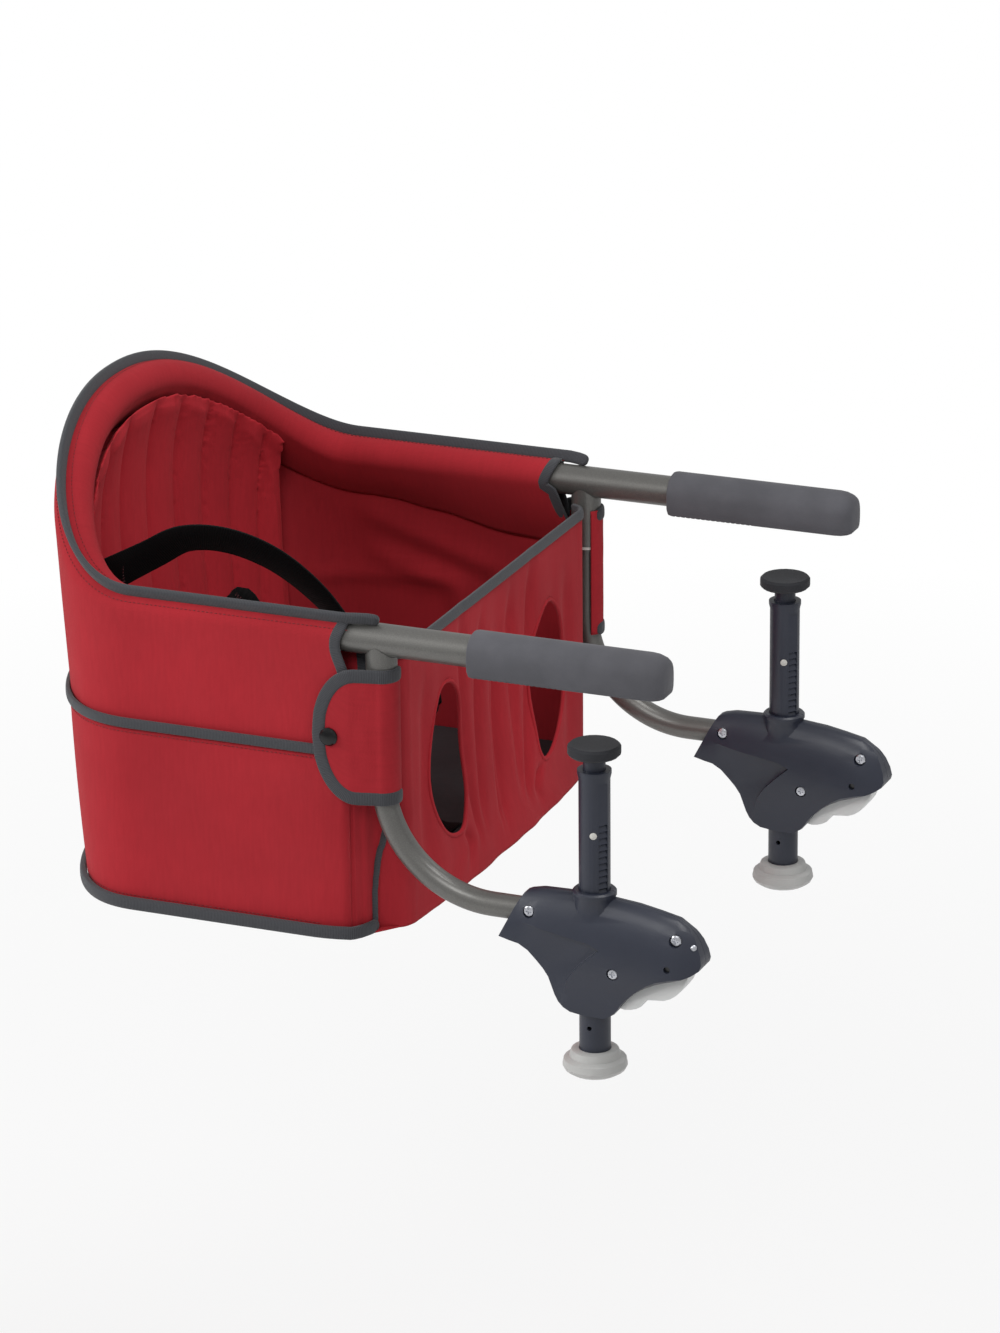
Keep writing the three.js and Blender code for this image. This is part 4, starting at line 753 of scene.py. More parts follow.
def leaning(across, height):
    """Draws the front cloth inwards round the lower half of a leg opening."""
    low = min(max((-LEG_DROP - height) / (LEG_HEIGHT / 2), 0.0), 1.3)
    near = ridge(abs(across) - LEG_OFFSET, 44)
    return math.copysign(LEG_LEAN * low**2 * near * ease((height - SEAT_BOTTOM) / 30), across)


def leg_opening(side):
    """Points round a leg opening's edge, in the front panel."""
    points = []
    for c, s in circle(1, 72):
        across, height = side * LEG_OFFSET + LEG_WIDTH / 2 * c, -LEG_DROP + LEG_HEIGHT / 2 * s
        points.append(Vector((FRONT_PLANE + front_fold(across, height), across - leaning(across, height), height)))
    return points


def front_fold(across, height):
    """The crotch panel's main folds, which gather between the leg openings and fade at its edges."""
    rise = (height - SEAT_BOTTOM) / (FRONT_TOP - SEAT_BOTTOM)
    middle = ease(max(1 - abs(across) / (LEG_OFFSET - LEG_WIDTH / 3), 0.0))
    waves = 0.7 + 0.3 * math.cos(across / STRAP_WIDTH * math.pi)
    lean = across + 14 * (1 - rise) * math.sin(across / 40)
    gathers = 6.0 * (1 - abs(math.sin(lean / 27 * math.pi / 2 + 0.6))) - 2.4
    swell = -CROTCH_BULGE * math.sin(math.pi * rise) * middle * waves
    gathered = gathers * math.sin(math.pi * min(rise * 1.15, 1.0)) ** 0.8 * middle
    fine = 1.6 * ripple(across / 16, height / 90, 2.2) * math.sin(math.pi * rise) * ease((170 - abs(across)) / 40)
    crease = creased(abs(across), height, FRONT_CREASES) * ease(rise * 6)
    return swell + gathered + fine + foot_bulge(across, rise) - crease


def foot_bulge(across, rise):
    """The front's lower edge hangs forwards, most in its middle."""
    wide = max(math.cos(across / (ARM_OFFSET - 2 * LOWER_RADIUS) * math.pi / 2), 0.0) ** 0.7
    return FOOT_BULGE * (1 - rise) ** 2.5 * wide * (1 + 0.22 * ripple(across / 22, 1.5, 3.7))


def leg_share(point):
    """How far out a point of the front is from its leg opening's middle; 1 on the opening's edge."""
    across = (abs(point.y) - LEG_OFFSET) / (LEG_WIDTH / 2)
    return across**2 + ((point.z + LEG_DROP) / (LEG_HEIGHT / 2)) ** 2


def make_front():
    """The front panel, round both corners, with its two leg openings."""
    plan, rows, count, near_edge = front_plan(260), [], 89, 1.25
    for j in range(count + 1):
        rise, row = j / count, []
        for k, foot in enumerate(plan):
            from_end = min(k, len(plan) - 1 - k) / (len(plan) - 1)
            top = CORNER_TOP + (FRONT_TOP - CORNER_TOP) * ease(min(from_end / CORNER_SHARE, 1))
            height = SEAT_BOTTOM + (top - SEAT_BOTTOM) * rise
            fold = front_fold(foot.y, height) if abs(foot.y) < ARM_OFFSET - 2 * LOWER_RADIUS else 0.0
            row.append(turned_in(Vector((foot.x + fold, foot.y, height))))
        rows.append(row)
    obj = grid_piece("front_panel_cloth", rows, finish("red_cloth"), keep=lambda p: leg_share(p) >= 1)
    with Reworked(obj) as made:
        bmesh.ops.delete(made, geom=[v for v in made.verts if not v.link_faces], context="VERTS")
        for vertex in made.verts:
            if vertex.is_boundary and leg_share(vertex.co / MM) < near_edge:
                side = math.copysign(1, vertex.co.y)
                across, height = vertex.co.y / MM - side * LEG_OFFSET, vertex.co.z / MM + LEG_DROP
                stretch = 1 / math.sqrt((across / (LEG_WIDTH / 2)) ** 2 + (height / (LEG_HEIGHT / 2)) ** 2)
                vertex.co.y = (side * LEG_OFFSET + across * stretch) * MM
                vertex.co.z = (height * stretch - LEG_DROP) * MM
        for vertex in made.verts:
            vertex.co.y -= leaning(vertex.co.y / MM, vertex.co.z / MM) * MM
    sheet(obj, ("front_panel",))


def base_outline():
    """The seat's plan at its bottom, from the right front round the back and along the front."""
    back = [Station(turn=math.radians(-90 + 180 * k / 64)) for k in range(65)]
    points = [Vector((SIDE_FRONT, -WALL_OFFSET + BASE_INSET, 0))]
    points += [s.foot - s.outwards * BASE_INSET for s in back]
    points += [Vector((SIDE_FRONT, WALL_OFFSET - BASE_INSET, 0))]
    front = [Vector((p.x - BASE_INSET + foot_bulge(p.y, 0.0), p.y, 0)) for p in front_plan(90)]
    points += [p for p in reversed(front) if abs(p.y) < ARM_OFFSET - LOWER_RADIUS - TUBE_KEEP - 6]
    for p in points:
        p.z = 0.0
    return points


def make_base():
    """The cloth under the seat's board, a little slack between its seams."""
    outline, rows, count = base_outline(), [], 24
    middle = sum(outline, Vector()) / len(outline)
    for j in range(count + 1):
        share, row = 1 - j / count * 0.995, []
        for p in outline:
            soft = 0.4 * ripple(p.x / 60 * share, p.y / 60 * share, 7) * (1 - share)
            row.append(Vector((*middle.lerp(p, share).xy, SEAT_BOTTOM + 0.6 - BASE_SAG * (1 - share**2) + soft)))
        rows.append(row)
    uvs = [[((p.x + 300) * MM, (p.y + 210) * MM) for p in row] for row in rows]
    obj = grid_piece("base_cloth", rows, finish("red_cloth"), uvs, closed=True)
    mended(obj, merge=2e-4, fill=lambda place: (place.xy - middle.xy * MM).length < 0.01)
    sheet(obj, ("base_panel",))


def pad_middle(turn, height, depth):
    """A point of the back pad, as far in from the wall as its depth."""
    station = Station(turn=turn)
    head = station.head - station.outwards * depth
    foot = station.foot - station.outwards * depth
    rise = (height - PAD_BOTTOM) / (head.z - PAD_HEM_CLEAR - PAD_BOTTOM)
    point = foot.lerp(head, (height - foot.z) / (head.z - foot.z))
    return point - station.outwards * (PAD_HEM_INSET * max(rise, 0.0) ** 6)


def pad_body(columns=150, height_rows=60, past=3.0):
    """A closed body on both sides of the pad's middle surface, going past its outline."""
    rows = []
    for j in range(height_rows + 1):
        v = j / height_rows
        outer, inner = [], []
        for i in range(columns + 1):
            u = i / columns
            turn = (-PAD_TURN + 2 * PAD_TURN * u) * (1 + past / 200)
            whole = hoop_point(turn).z - PAD_HEM_CLEAR - PAD_BOTTOM + 2 * past
            middle = pad_middle(turn, PAD_BOTTOM - past + whole * v, PAD_DEPTH)
            edge = (min(math.sin(math.pi * min(max(u, 0.004), 0.996)) * 9, 1)
                    * min(math.sin(math.pi * min(max(v, 0.01), 0.99)) * 4, 1))
            half = Station(turn=turn).outwards * (6.4 * (0.8 + 0.2 * edge) / 2)
            outer.append(middle + half)
            inner.append(middle - half)
        rows.append(outer + inner[::-1])
    obj = grid_piece("back_cushion", rows, finish("red_cloth"), closed=True)
    return mended(obj, merge=1e-5, fill=everywhere, most_corners=4)


def simulated(obj, pressure, cap, voxel):
    """Swells the closed body with cloth under pressure; no point moves further than the cap."""
    remesh = obj.modifiers.new("Remesh", "REMESH")
    remesh.mode, remesh.voxel_size = "VOXEL", voxel * MM
    applied(obj)
    rest = np.array([v.co[:] for v in obj.data.vertices])
    cloth = obj.modifiers.new("Cloth", "CLOTH")
    settings = cloth.settings
    settings.quality, settings.mass = 5, 0.15
    settings.use_pressure, settings.uniform_pressure_force = True, pressure
    settings.effector_weights.gravity = 0.0
    settings.tension_stiffness = settings.compression_stiffness = 12.0
    cloth.collision_settings.use_collision = False
    for frame_number in range(1, 21):
        bpy.context.scene.frame_set(frame_number)
    applied(obj)
    bpy.context.scene.frame_set(1)
    step = np.array([v.co[:] for v in obj.data.vertices]) - rest
    step *= np.minimum(1.0, cap * MM / np.maximum(np.linalg.norm(step, axis=1), 1e-9))[:, None]
    obj.data.vertices.foreach_set("co", (rest + step).astype(np.float32).ravel())
    obj.data.update()


def make_back_pad():
    """The quilted pad in the back: swollen by simulation, then sewn down in its channels."""
    obj = pad_body()
    simulated(obj, 4.0, 2.5, 3.6)
    finer = obj.modifiers.new("Finer", "SUBSURF")
    finer.levels = finer.render_levels = 1
    applied(obj)
    columns = [Station(turn=-PAD_TURN + 2 * PAD_TURN * k / PAD_COLUMNS) for k in range(PAD_COLUMNS + 1)]
    nearest = KDTree(len(columns))
    for k, station in enumerate(columns):
        nearest.insert(pad_middle(station.turn, -60.0, PAD_DEPTH).xy.to_3d() * MM, k)
    nearest.balance()
    for vertex in obj.data.vertices:
        _, k, _ = nearest.find(vertex.co.xy.to_3d())
        station, u = columns[k], k / PAD_COLUMNS
        top = hoop_point(station.turn).z - PAD_HEM_CLEAR
        height = min(max(vertex.co.z / MM, PAD_BOTTOM), top)
        vertex.co.z = height * MM
        middle = pad_middle(station.turn, height, PAD_DEPTH)
        if k in (0, PAD_COLUMNS):
            beyond = Vector((-station.outwards.y, station.outwards.x, 0))
            vertex.co -= beyond * (vertex.co - middle * MM).dot(beyond)
        offset = (vertex.co / MM - middle).dot(station.outwards)
        puff = abs(math.sin(u * PAD_CHANNELS * math.pi)) ** 0.5
        ends = ease(min(height - PAD_BOTTOM, top - height) / 14)
        want = max(min(offset, PAD_HALF_LIMIT), -PAD_HALF_LIMIT) * (0.16 + 0.84 * puff) * (0.45 + 0.55 * ends)
        want += 0.25 * ripple(u * 60, height / 26, 4.0) * puff + 1.5 * (1 - puff) * ends
        vertex.co += station.outwards * ((want - offset) * MM)
    painted(obj, finish("pad_cloth"))
    shaded_smooth(obj)
    uv = []
    for loop in obj.data.loops:
        place = obj.data.vertices[loop.vertex_index].co
        uv += [math.atan2(place.y, -place.x - 0.1) * 0.19, place.z]
    uv_layer(obj.data).data.foreach_set("uv", uv)
    seated(obj, "seat_frame", ("back_pad",))


def flap_plan(side):
    """The flap's plan: round the lower tube, back to the wall and on to the snap."""
    radius = LOWER_RADIUS + TUBE_KEEP - CLOTH / 2
    points = []
    for k in range(9):
        angle = math.radians(52 - 142 * k / 8)
        points.append(Vector((SWIVEL + radius * math.cos(angle), side * (ARM_OFFSET - radius * math.sin(angle)), 0)))
    outer = WALL_OFFSET + 2 * CLOTH + 1.2
    reach = SWIVEL + 0.3 * (FLAP_REACH - SWIVEL)
    points.append(Vector((reach, side * (ARM_OFFSET + radius + 0.7 * (outer - ARM_OFFSET - radius)), 0)))
    points.append(Vector((reach + 0.3 * (FLAP_REACH - reach), side * outer, 0)))
    points.append(Vector((FLAP_REACH, side * outer, 0)))
    return smooth_run(points, 80)


def flap_halves(plan):
    """Half the flap's height along its plan: full at the tube, round at the snap."""
    halves = []
    for k, foot in enumerate(plan):
        near_end = min(max((foot.x - FLAP_REACH) / FLAP_END, 0.0), 1.0)
        rounded = FLAP_HALF * (0.06 + 0.94 * math.sqrt(1 - (1 - near_end) ** 2))
        halves.append(rounded if k / (len(plan) - 1) > 0.3 else FLAP_HALF)
    return halves


def make_flaps():
    """The two flaps that cover the swivels, each snapped back on the side panel."""
    for name, side in SIDES:
        plan, columns, rows = flap_plan(side), [], 16
        for k, (foot, half) in enumerate(zip(plan, flap_halves(plan))):
            share, run = k / (len(plan) - 1), heading(plan, k)
            out = Vector((run.y, -run.x, 0)) * (-side)
            if out.dot(Vector((0.6, side, 0))) < 0:
                out.negate()
            column = []
            for j in range(2 * rows + 1):
                up = j / rows - 1
                soft = 0.55 * ripple(k / 9, up * 2.2, 6.0 + side) * (1 - up * up) * math.sin(math.pi * share)
                column.append(foot + out * soft + Vector((0, 0, FLAP_MIDDLE + half * up)))
            columns.append(column)
        obj = mended(grid_piece(f"{name}_flap_cloth", columns, finish("red_cloth")), merge=1e-6)
        sheet(obj, (f"{name}_snap_flap",))


def rim_binding_path():
    """The binding on the rim: it stands up from the hem's outer seam, 28 degrees outwards from its top."""
    angle, points, facing = math.radians(62), [], []
    for station in rim(RIM_FRONT, 24, 150):
        past = max(station.reach - SIDE_FRONT, 0.0) / (RIM_FRONT - SIDE_FRONT) if station.turn is None else 0.0
        points.append(station.hem(angle + 0.3 * past, HEM_RADIUS + 4.0 - 2.4 * past**2))
        facing.append(station.hem(angle - math.pi / 2, 1.0) - station.centre)
    return points, facing


def flap_edge(side, inset, lift=0.0):
    """Along the flap's edge at an inset from it, from the table by way of the snap to the lower tube."""
    plan, start = flap_plan(side), 5
    runs, halves = runs_of(plan), flap_halves(plan)
    upper = [Vector((runs[k], halves[k], 0)) for k in range(start, len(plan))]
    outline = smooth_run(upper + [Vector((p.x, -p.y, 0)) for p in reversed(upper)], 120)
    points, facing = [], []
    for k, place in enumerate(outline):
        run = heading(outline, k)
        place = place + Vector((run.y, -run.x, 0)) * inset
        at = min(max(sum(r <= place.x for r in runs) - 1, 0), len(plan) - 2)
        along = (plan[at + 1] - plan[at]).normalized()
        out = Vector((along.y, -along.x, 0)) * (-side)
        foot = plan[at] + along * (place.x - runs[at])
        points.append(foot + out * lift + Vector((0, 0, FLAP_MIDDLE + place.y)))
        facing.append(out)
    return points, facing


def sleeve_edge(side):
    """Up the side panel's front edge and round the sleeve's open end, where the tube comes out of it."""
    station = Station(side, SIDE_FRONT)
    heights = range(-18, 15, 2)
    points = [edged(station, station.wall(height)) for height in heights]
    facing = [station.outwards.copy() for _ in heights]
    for k in range(28):
        angle = math.radians(190 * k / 27)
        points.append(edged(station, station.hem(angle, HEM_RADIUS + 0.4)))
        facing.append(station.hem(angle, 1.0) - station.centre)
    for k in range(1, 12):
        points.append(fallen(station, k / 12) - station.outwards * 0.4)
        facing.append(facing[-1].lerp(-station.outwards - Vector((0, 0, 0.4)), k / 11))
    return [p - Vector((2.6, 0, 0)) for p in points], facing


def corner_seam(side):
    """The upright binding by the lower tube, from under the flap to the seat's bottom."""
    plan = [p for p in front_plan(520) if p.y * side > 0 and p.x > SIDE_FRONT + 3]
    points = []
    for k in range(25):
        want = 170.5 + 7 * ease(k / 20)
        foot = min(plan, key=lambda p: abs(abs(p.y) - want))
        points.append(Vector((foot.x + 0.9, foot.y, -108 - 86 * k / 24)))
    return points


def front_top_path():
    plan = [p for p in front_plan(160) if abs(p.y) < 172]
    points = [Vector((p.x + front_fold(p.y, FRONT_TOP) * (abs(p.y) < 158), p.y, FRONT_TOP - 1.6)) for p in plan]
    return points, [Vector((1, 0, 0.2)) for _ in points]


def base_binding_path():
    """Round the seat's bottom and on round its front corners, up to the corner seams."""
    stations = rim(SIDE_FRONT, 20, 150)
    points = [turned_in(Vector((*(s.foot + s.outwards * 5.2).xy, BASE_BINDING_HEIGHT))) for s in stations]
    facing = [s.outwards.copy() for s in stations]
    for _, side in SIDES:
        corner = [p for p in front_plan(260) if p.y * side > 175 and p.x > SIDE_FRONT + 1.5]
        for place in sorted(corner, key=lambda p: p.x)[::2]:
            ahead = place.x - SIDE_FRONT
            out = Vector((SWIVEL - place.x, side * ARM_OFFSET - place.y, 0)).normalized()
            out = Vector((0, side, 0)).lerp(out, ease(ahead / 7)).normalized()
            point = place + out * (5.2 - 3.0 * ease(ahead / 8))
            at = len(points) if side > 0 else 0
            points.insert(at, turned_in(Vector((*point.xy, BASE_BINDING_HEIGHT))))
            facing.insert(at, out)
    return points, facing


def make_bindings():
    """Every sewn binding, grown along its edge."""
    trims = bpy.context.scene.chair_sizes
    tape("rim_binding", *rim_binding_path(), trims.rim_binding / MM, 4.6, ("top_piping",))
    stations = rim(POCKET_FRONT + 4, 20, 150)
    pocket = [s.wall(POCKET_TOP + 3.2, 3.0) for s in stations]
    tape("pocket_binding", pocket, [s.outwards for s in stations], trims.pocket_binding / MM, 3.6, ("pocket_piping",))
    tape("base_binding", *base_binding_path(), trims.base_binding / MM, 5.0, ("bottom_piping",))
    for name, side in SIDES:
        tape(f"{name}_flap_binding", *flap_edge(side, 3.4), trims.flap_binding / MM, 3.2)
        tape(f"{name}_sleeve_binding", *sleeve_edge(side), trims.sleeve_binding / MM, 2.8)
        binding(f"{name}_corner_binding", corner_seam(side), False, 2.3)
        binding(f"{name}_leg_hem", leg_opening(side), True, 1.5, "red_cloth")
    tape("front_binding", *front_top_path(), trims.sleeve_binding / MM, 3.4)


def make_stitches():
    """Rows of thread beside each binding."""
    runs = []
    stations = rim(SIDE_FRONT + 3, 20, 150)
    for turn, lift in ((34, 0.85), (88, 0.95)):
        runs.append(([edged(s, s.hem(math.radians(turn), HEM_RADIUS + lift)) for s in stations], False))
    stations = rim(POCKET_FRONT + 0.5, 20, 150)
    for height, layer in ((POCKET_TOP - 3.6, 2.5), (SEAT_BOTTOM + 9, 2.6)):
        runs.append(([s.wall(height, layer) for s in stations], False))
    stitches("seat_stitches", runs)
    stitches("flap_stitches", [(flap_edge(side, 9.2, 0.75)[0], False) for _, side in SIDES])


def webbing(name, route, across_at, replaces):
    """Woven strap along a route; across_at gives the way that its width runs."""
    half, thin = STRAP_WIDTH / 2, STRAP_THICKNESS / 2
    ring = [(-half, -thin * 0.5), (-half * 0.97, -thin), (0, -thin), (half * 0.97, -thin), (half, -thin * 0.5)]
    ring += [(-across, -up) for across, up in ring]
    rows, uvs = [], []
    for k, (centre, run) in enumerate(zip(route, runs_of(route))):
        tangent, across = heading(route, k), across_at(k / (len(route) - 1))
        across = (across - tangent * across.dot(tangent)).normalized()
        normal = tangent.cross(across)
        rows.append([centre + across * a + normal * b for a, b in ring])
        uvs.append([(a * MM, run * MM) for a, b in ring])
    obj = grid_piece(name, rows, finish("black_webbing"), uvs, closed=True)
    seated(mended(obj, fill=everywhere), "seat_frame", replaces)


def sewn_box(route, start, first=3, last=13):
    """Thread round and across the strap's sewn end, on both its faces."""
    a, b = route[first], route[last]
    flat, runs = start * (STRAP_WIDTH / 2 - 2.5), []
    for flank in (-1, 1):
        normal = (b - a).normalized().cross(start).normalized() * flank * (STRAP_THICKNESS / 2 + 0.2)
        corners = [p + normal for p in (a - flat, b - flat, b + flat, a + flat)]
        runs += [(corners, True), (corners[::2], False), (corners[1::2], False)]
    return runs


def make_straps():
    """The waist straps from the pad to the buckle, and the crotch strap from the board."""
    runs, depth = [], (CLOTH + STRAP_THICKNESS) / 2 + 2.4 + 9
    for name, side in SIDES:
        sewn_height, lean, shares = STRAPS[name]
        sewn = math.radians(side * STRAP_TURN)
        points = [pad_middle(sewn + math.radians(side * step), sewn_height, depth) for step in (0, 6)]
        for reach, spread, height in shares:
            points.append(Vector((reach * (HOOP_START - HOOP_DEPTH), spread * ARM_OFFSET, -height * SEAT_BOTTOM)))
        points += [Vector((BUCKLE_REACH, side * BUCKLE_HALF * share, BUCKLE_HEIGHT)) for share in (1.4, 1)]
        route = smooth_run(points, 90)
        low, high = (pad_middle(sewn, sewn_height + k * STRAP_WIDTH / 2, depth) for k in (-1, 1))
        start, end = (high - low).normalized(), Vector((0, lean, 1))
        webbing(f"{name}_waist_webbing", route, lambda u: start.lerp(end, ease(math.sin(math.pi * u))),
                (f"{name}_waist_strap",))
        runs += sewn_box(route, start)
    route = smooth_run([
        Vector((BUCKLE_REACH + STRAP_WIDTH, 0, CROTCH_FOOT)),
        Vector((BUCKLE_REACH + STRAP_WIDTH / 3, 0, CROTCH_FOOT + 1.6)),
        Vector((BUCKLE_REACH + 1.6, 0, CROTCH_FOOT + 0.35 * (CROTCH_TOP - CROTCH_FOOT))),
        Vector((BUCKLE_REACH, 0, CROTCH_TOP))], 40)
    webbing("crotch_webbing", route, lambda u: Vector((0, 1, 0)), ("crotch_strap",))
    stitches("strap_stitches", runs, 2.2, 1.6, 0.5, "strap_thread")


# Steel and moulded parts
def make_tubes():
    """Smooth tubes over the frame's faceted ones, with their closed front ends."""
    enamel, y_axis = finish("warm_grey_enamel"), Vector((0, 1, 0))
    stations = rim(ARM_END, 60, 160)
    obj = swept("frame_tube", [s.centre for s in stations], [(s.outwards, s.upwards) for s in stations],
                lambda share: circle(ARM_RADIUS, 40), enamel)
    seated(obj, "seat_frame", ("upper_frame_tube",))
    for name, side in SIDES:
        places = [(SWIVEL, 1 + (LOWER_BEND - LOWER_DROP - 1) * k / 8) for k in range(8)]
        for k in range(33):
            angle = math.pi / 2 * k / 32
            places.append((SWIVEL + LOWER_BEND * (1 - math.cos(angle)),
                           LOWER_BEND - LOWER_DROP - LOWER_BEND * math.sin(angle)))
        places += [(70 + (LOWER_END - 70) * k / 4, -LOWER_DROP) for k in range(1, 5)]
        points = [Vector((reach, side * ARM_OFFSET, height)) for reach, height in places]
        frames = [(y_axis, heading(points, k).cross(y_axis)) for k in range(len(points))]
        arm = swept(f"{name}_arm_tube", points, frames, lambda share: circle(LOWER_RADIUS, 40), enamel)
        seated(arm, f"{name}_arm", (f"{name}_lower_tube",))


def make_nose_pins():
    """A small bright pin's end on the outer face of each clamp's nose."""
    sizes = (2.1, 2.1, 1.7, 0.9)
    for name, side in SIDES:
        shell = NODES[f"{name}_clamp_outer_shell"]
        start = Vector((NOSE_PIN[0], side * 2 * ARM_OFFSET, NOSE_PIN[1])) * MM
        into = shell.matrix_world.inverted()
        _, place, normal, _ = shell.ray_cast(into @ start, into.to_3x3() @ Vector((0, -side, 0)))
        place, normal = (shell.matrix_world @ place) / MM, (shell.matrix_world.to_3x3() @ normal).normalized()
        across = normal.orthogonal().normalized()
        centres = [place + normal * step for step in (-2.0, 0.3, 0.7, 0.9)]
        pin = swept(f"{name}_nose_pin", centres, [(across, normal.cross(across))] * len(centres),
                    lambda share: circle(sizes[round(share * 3)], 28), finish("bright_steel"))
        seated(pin, f"{name}_arm", ())


NODE_FINISHES = {
    "grip": "grip_rubber", "swivel_socket": "warm_grey_enamel", "swivel_bush": "natural_plastic",
    "clamp_outer_shell": "slate_moulding", "clamp_inner_shell": "slate_moulding", "clamp_screw": "bright_steel",
    # The release lever's lighter moulding is painted light for its highlight.
    "lever_pin": "black_moulding", "lever_spring": "bright_steel", "release_lever": "lever_moulding",
    "ratchet_pawl": "bright_steel", "ratchet_post": "slate_moulding", "post_bush": "natural_plastic",
    "post_rivet": "natural_plastic", "screw_spindle": "bright_steel", "hand_knob": "pale_moulding",
    "pad_stem": "slate_moulding", "rubber_pad": "pad_rubber", "snap_cap": "black_gloss",
    "base_board": "board_plastic", "strap_buckle": "black_moulding",
}


def finish_hardware(*groups):
    """Gives frame nodes their finish, and shades them smooth up to an angle."""
    for node, obj in NODES.items():
        if not obj.hide_render and any(group in node for group in groups):
            painted(obj, finish(next(NODE_FINISHES[part] for part in NODE_FINISHES if part in node)))
            grow(obj, "Smooth to angle", smoothing, {"Angle": math.radians(34), "Merge": 5e-6})


def make_clamps():
    make_nose_pins()
    finish_hardware("clamp_", "ratchet_", "release_lever", "hand_knob", "post_", "screw_spindle", "lever_", "pad_stem",
                    "rubber_pad")


def make_fittings():
    finish_hardware("grip", "swivel_", "snap_cap", "base_board", "strap_buckle")


# Studio
def plain_floor():
    """A pale floor that the camera sees whiter than it is lit, and white far out."""
    made = Finish("Studio floor", roughness=0.75)
    made.shader.inputs["Base Color"].default_value = (0.86, 0.86, 0.86, 1)
    rays = linked(made.tree, "ShaderNodeLightPath").outputs
    white = linked(made.tree, "ShaderNodeEmission", {"Color": (1, 1, 1, 1), "Strength": 1.0})
    place = linked(made.tree, "ShaderNodeNewGeometry").outputs["Position"]
    distance = linked(made.tree, "ShaderNodeVectorMath", {0: place}, operation="LENGTH").outputs["Value"]
    sources = {"Value": distance, "From Min": 0.8, "From Max": 2.4, "To Min": 0.72}
    spread = linked(made.tree, "ShaderNodeMapRange", sources)
    seen = made.maths("MAXIMUM", rays["Is Camera Ray"], rays["Is Transmission Ray"])
    share = made.maths("MULTIPLY", seen, spread)
    mixed = linked(made.tree, "ShaderNodeMixShader", {"Fac": share, 1: made.shader, 2: white})
    made.tree.links.new(mixed.outputs[0], made.tree.nodes["Material Output"].inputs["Surface"])
    return made.material


def make_floor():
    rows = [[Vector((-50 + reach / MM * x, reach / MM * y, FLOOR)) for x, y in circle(1, 64)] for reach in FLOOR_RINGS]
    floor = grid_piece("studio_floor", rows, plain_floor(), closed=True)
    mended(floor, fill=lambda place: place.xy.length < 1)
    with Reworked(floor) as made:
        for face in made.faces:
            if face.normal.z < 0:
                face.normal_flip()


def make_surroundings(scene):
    """White all round: dim as light, weak in reflections and full to the camera."""
    world = bpy.data.worlds.new("Studio")
    scene.world = world
    world.use_nodes = True
    tree = world.node_tree
    rays = linked(tree, "ShaderNodeLightPath").outputs
    mirrored = linked(tree, "ShaderNodeMath", {0: rays["Is Glossy Ray"], 1: 0.3}, operation="MULTIPLY")
    any_ray = linked(tree, "ShaderNodeMath", {0: rays["Is Camera Ray"], 1: mirrored}, operation="MAXIMUM")
    strength = linked(tree, "ShaderNodeMapRange", {"Value": any_ray, "To Min": 0.41, "To Max": 1.0})
    background = tree.nodes["Background"].inputs
    background["Color"].default_value = (1, 1, 1, 1)
    tree.links.new(strength.outputs[0], background["Strength"])


LAMPS = (
    ("Key", (0.1, -2.0, 1.6), (-0.05, 0, -0.05), 1.1, 15),
    ("Fill", (-2.0, -1.2, 0.9), (-0.1, 0, -0.05), 1.3, 31),
    ("Top", (1.05, -0.2, 2.15), (-0.1, 0, 0), 1.3, 24),
    ("Back", (1.0, 2.2, 1.4), (0, 0, 0), 1.2, 4),
)
CAMERA_PLACE, CAMERA_LENS = (1.5349, -3.6813, 1.3531), 163.7
CAMERA_TURN, CAMERA_TILT, CAMERA_ROLL = math.radians(22.651), math.radians(19.556), math.radians(-0.490)


def make_stage():
    """Floor, white surroundings, soft lamps and the camera at the photograph's angle."""
    scene = bpy.context.scene
    make_floor()
    make_surroundings(scene)
    for name, place, target, size, power in LAMPS:
        data = bpy.data.lights.new(name, "AREA")
        data.shape, data.size, data.energy = "DISK", size, power
        light = placed_in_scene(name, data)
        light.location = place
        light.rotation_euler = (Vector(target) - Vector(place)).to_track_quat("-Z", "Y").to_euler()
    data = bpy.data.cameras.new("Camera")
    data.lens, data.sensor_width, data.sensor_fit = CAMERA_LENS, 36.0, "AUTO"
    data.clip_start, data.clip_end = 0.1, 60.0
    camera = placed_in_scene("Camera", data)
    turn, tilt, roll = CAMERA_TURN, CAMERA_TILT, CAMERA_ROLL
    back = Vector((math.sin(turn) * math.cos(tilt), -math.cos(turn) * math.cos(tilt), math.sin(tilt)))
    right = (-back).cross(Vector((0, 0, 1))).normalized()
    up = right.cross(-back)
    level, rise = right * math.cos(roll) + up * math.sin(roll), up * math.cos(roll) - right * math.sin(roll)
    camera.matrix_world = Matrix.Translation(CAMERA_PLACE) @ Matrix((level, rise, back)).transposed().to_4x4()
    scene.camera = camera
    scene.view_settings.view_transform = "Standard"


# Add-on
def hue(name, description, value):
    return bpy.props.FloatVectorProperty(
        name=name, description=description, subtype="COLOR_GAMMA", size=3, min=0.0, max=1.0, default=written(value))


def size(name, description, value, low=0.003, high=0.012):
    return bpy.props.FloatProperty(
        name=name, description=description, default=value, min=low, max=high, unit="LENGTH", precision=4)


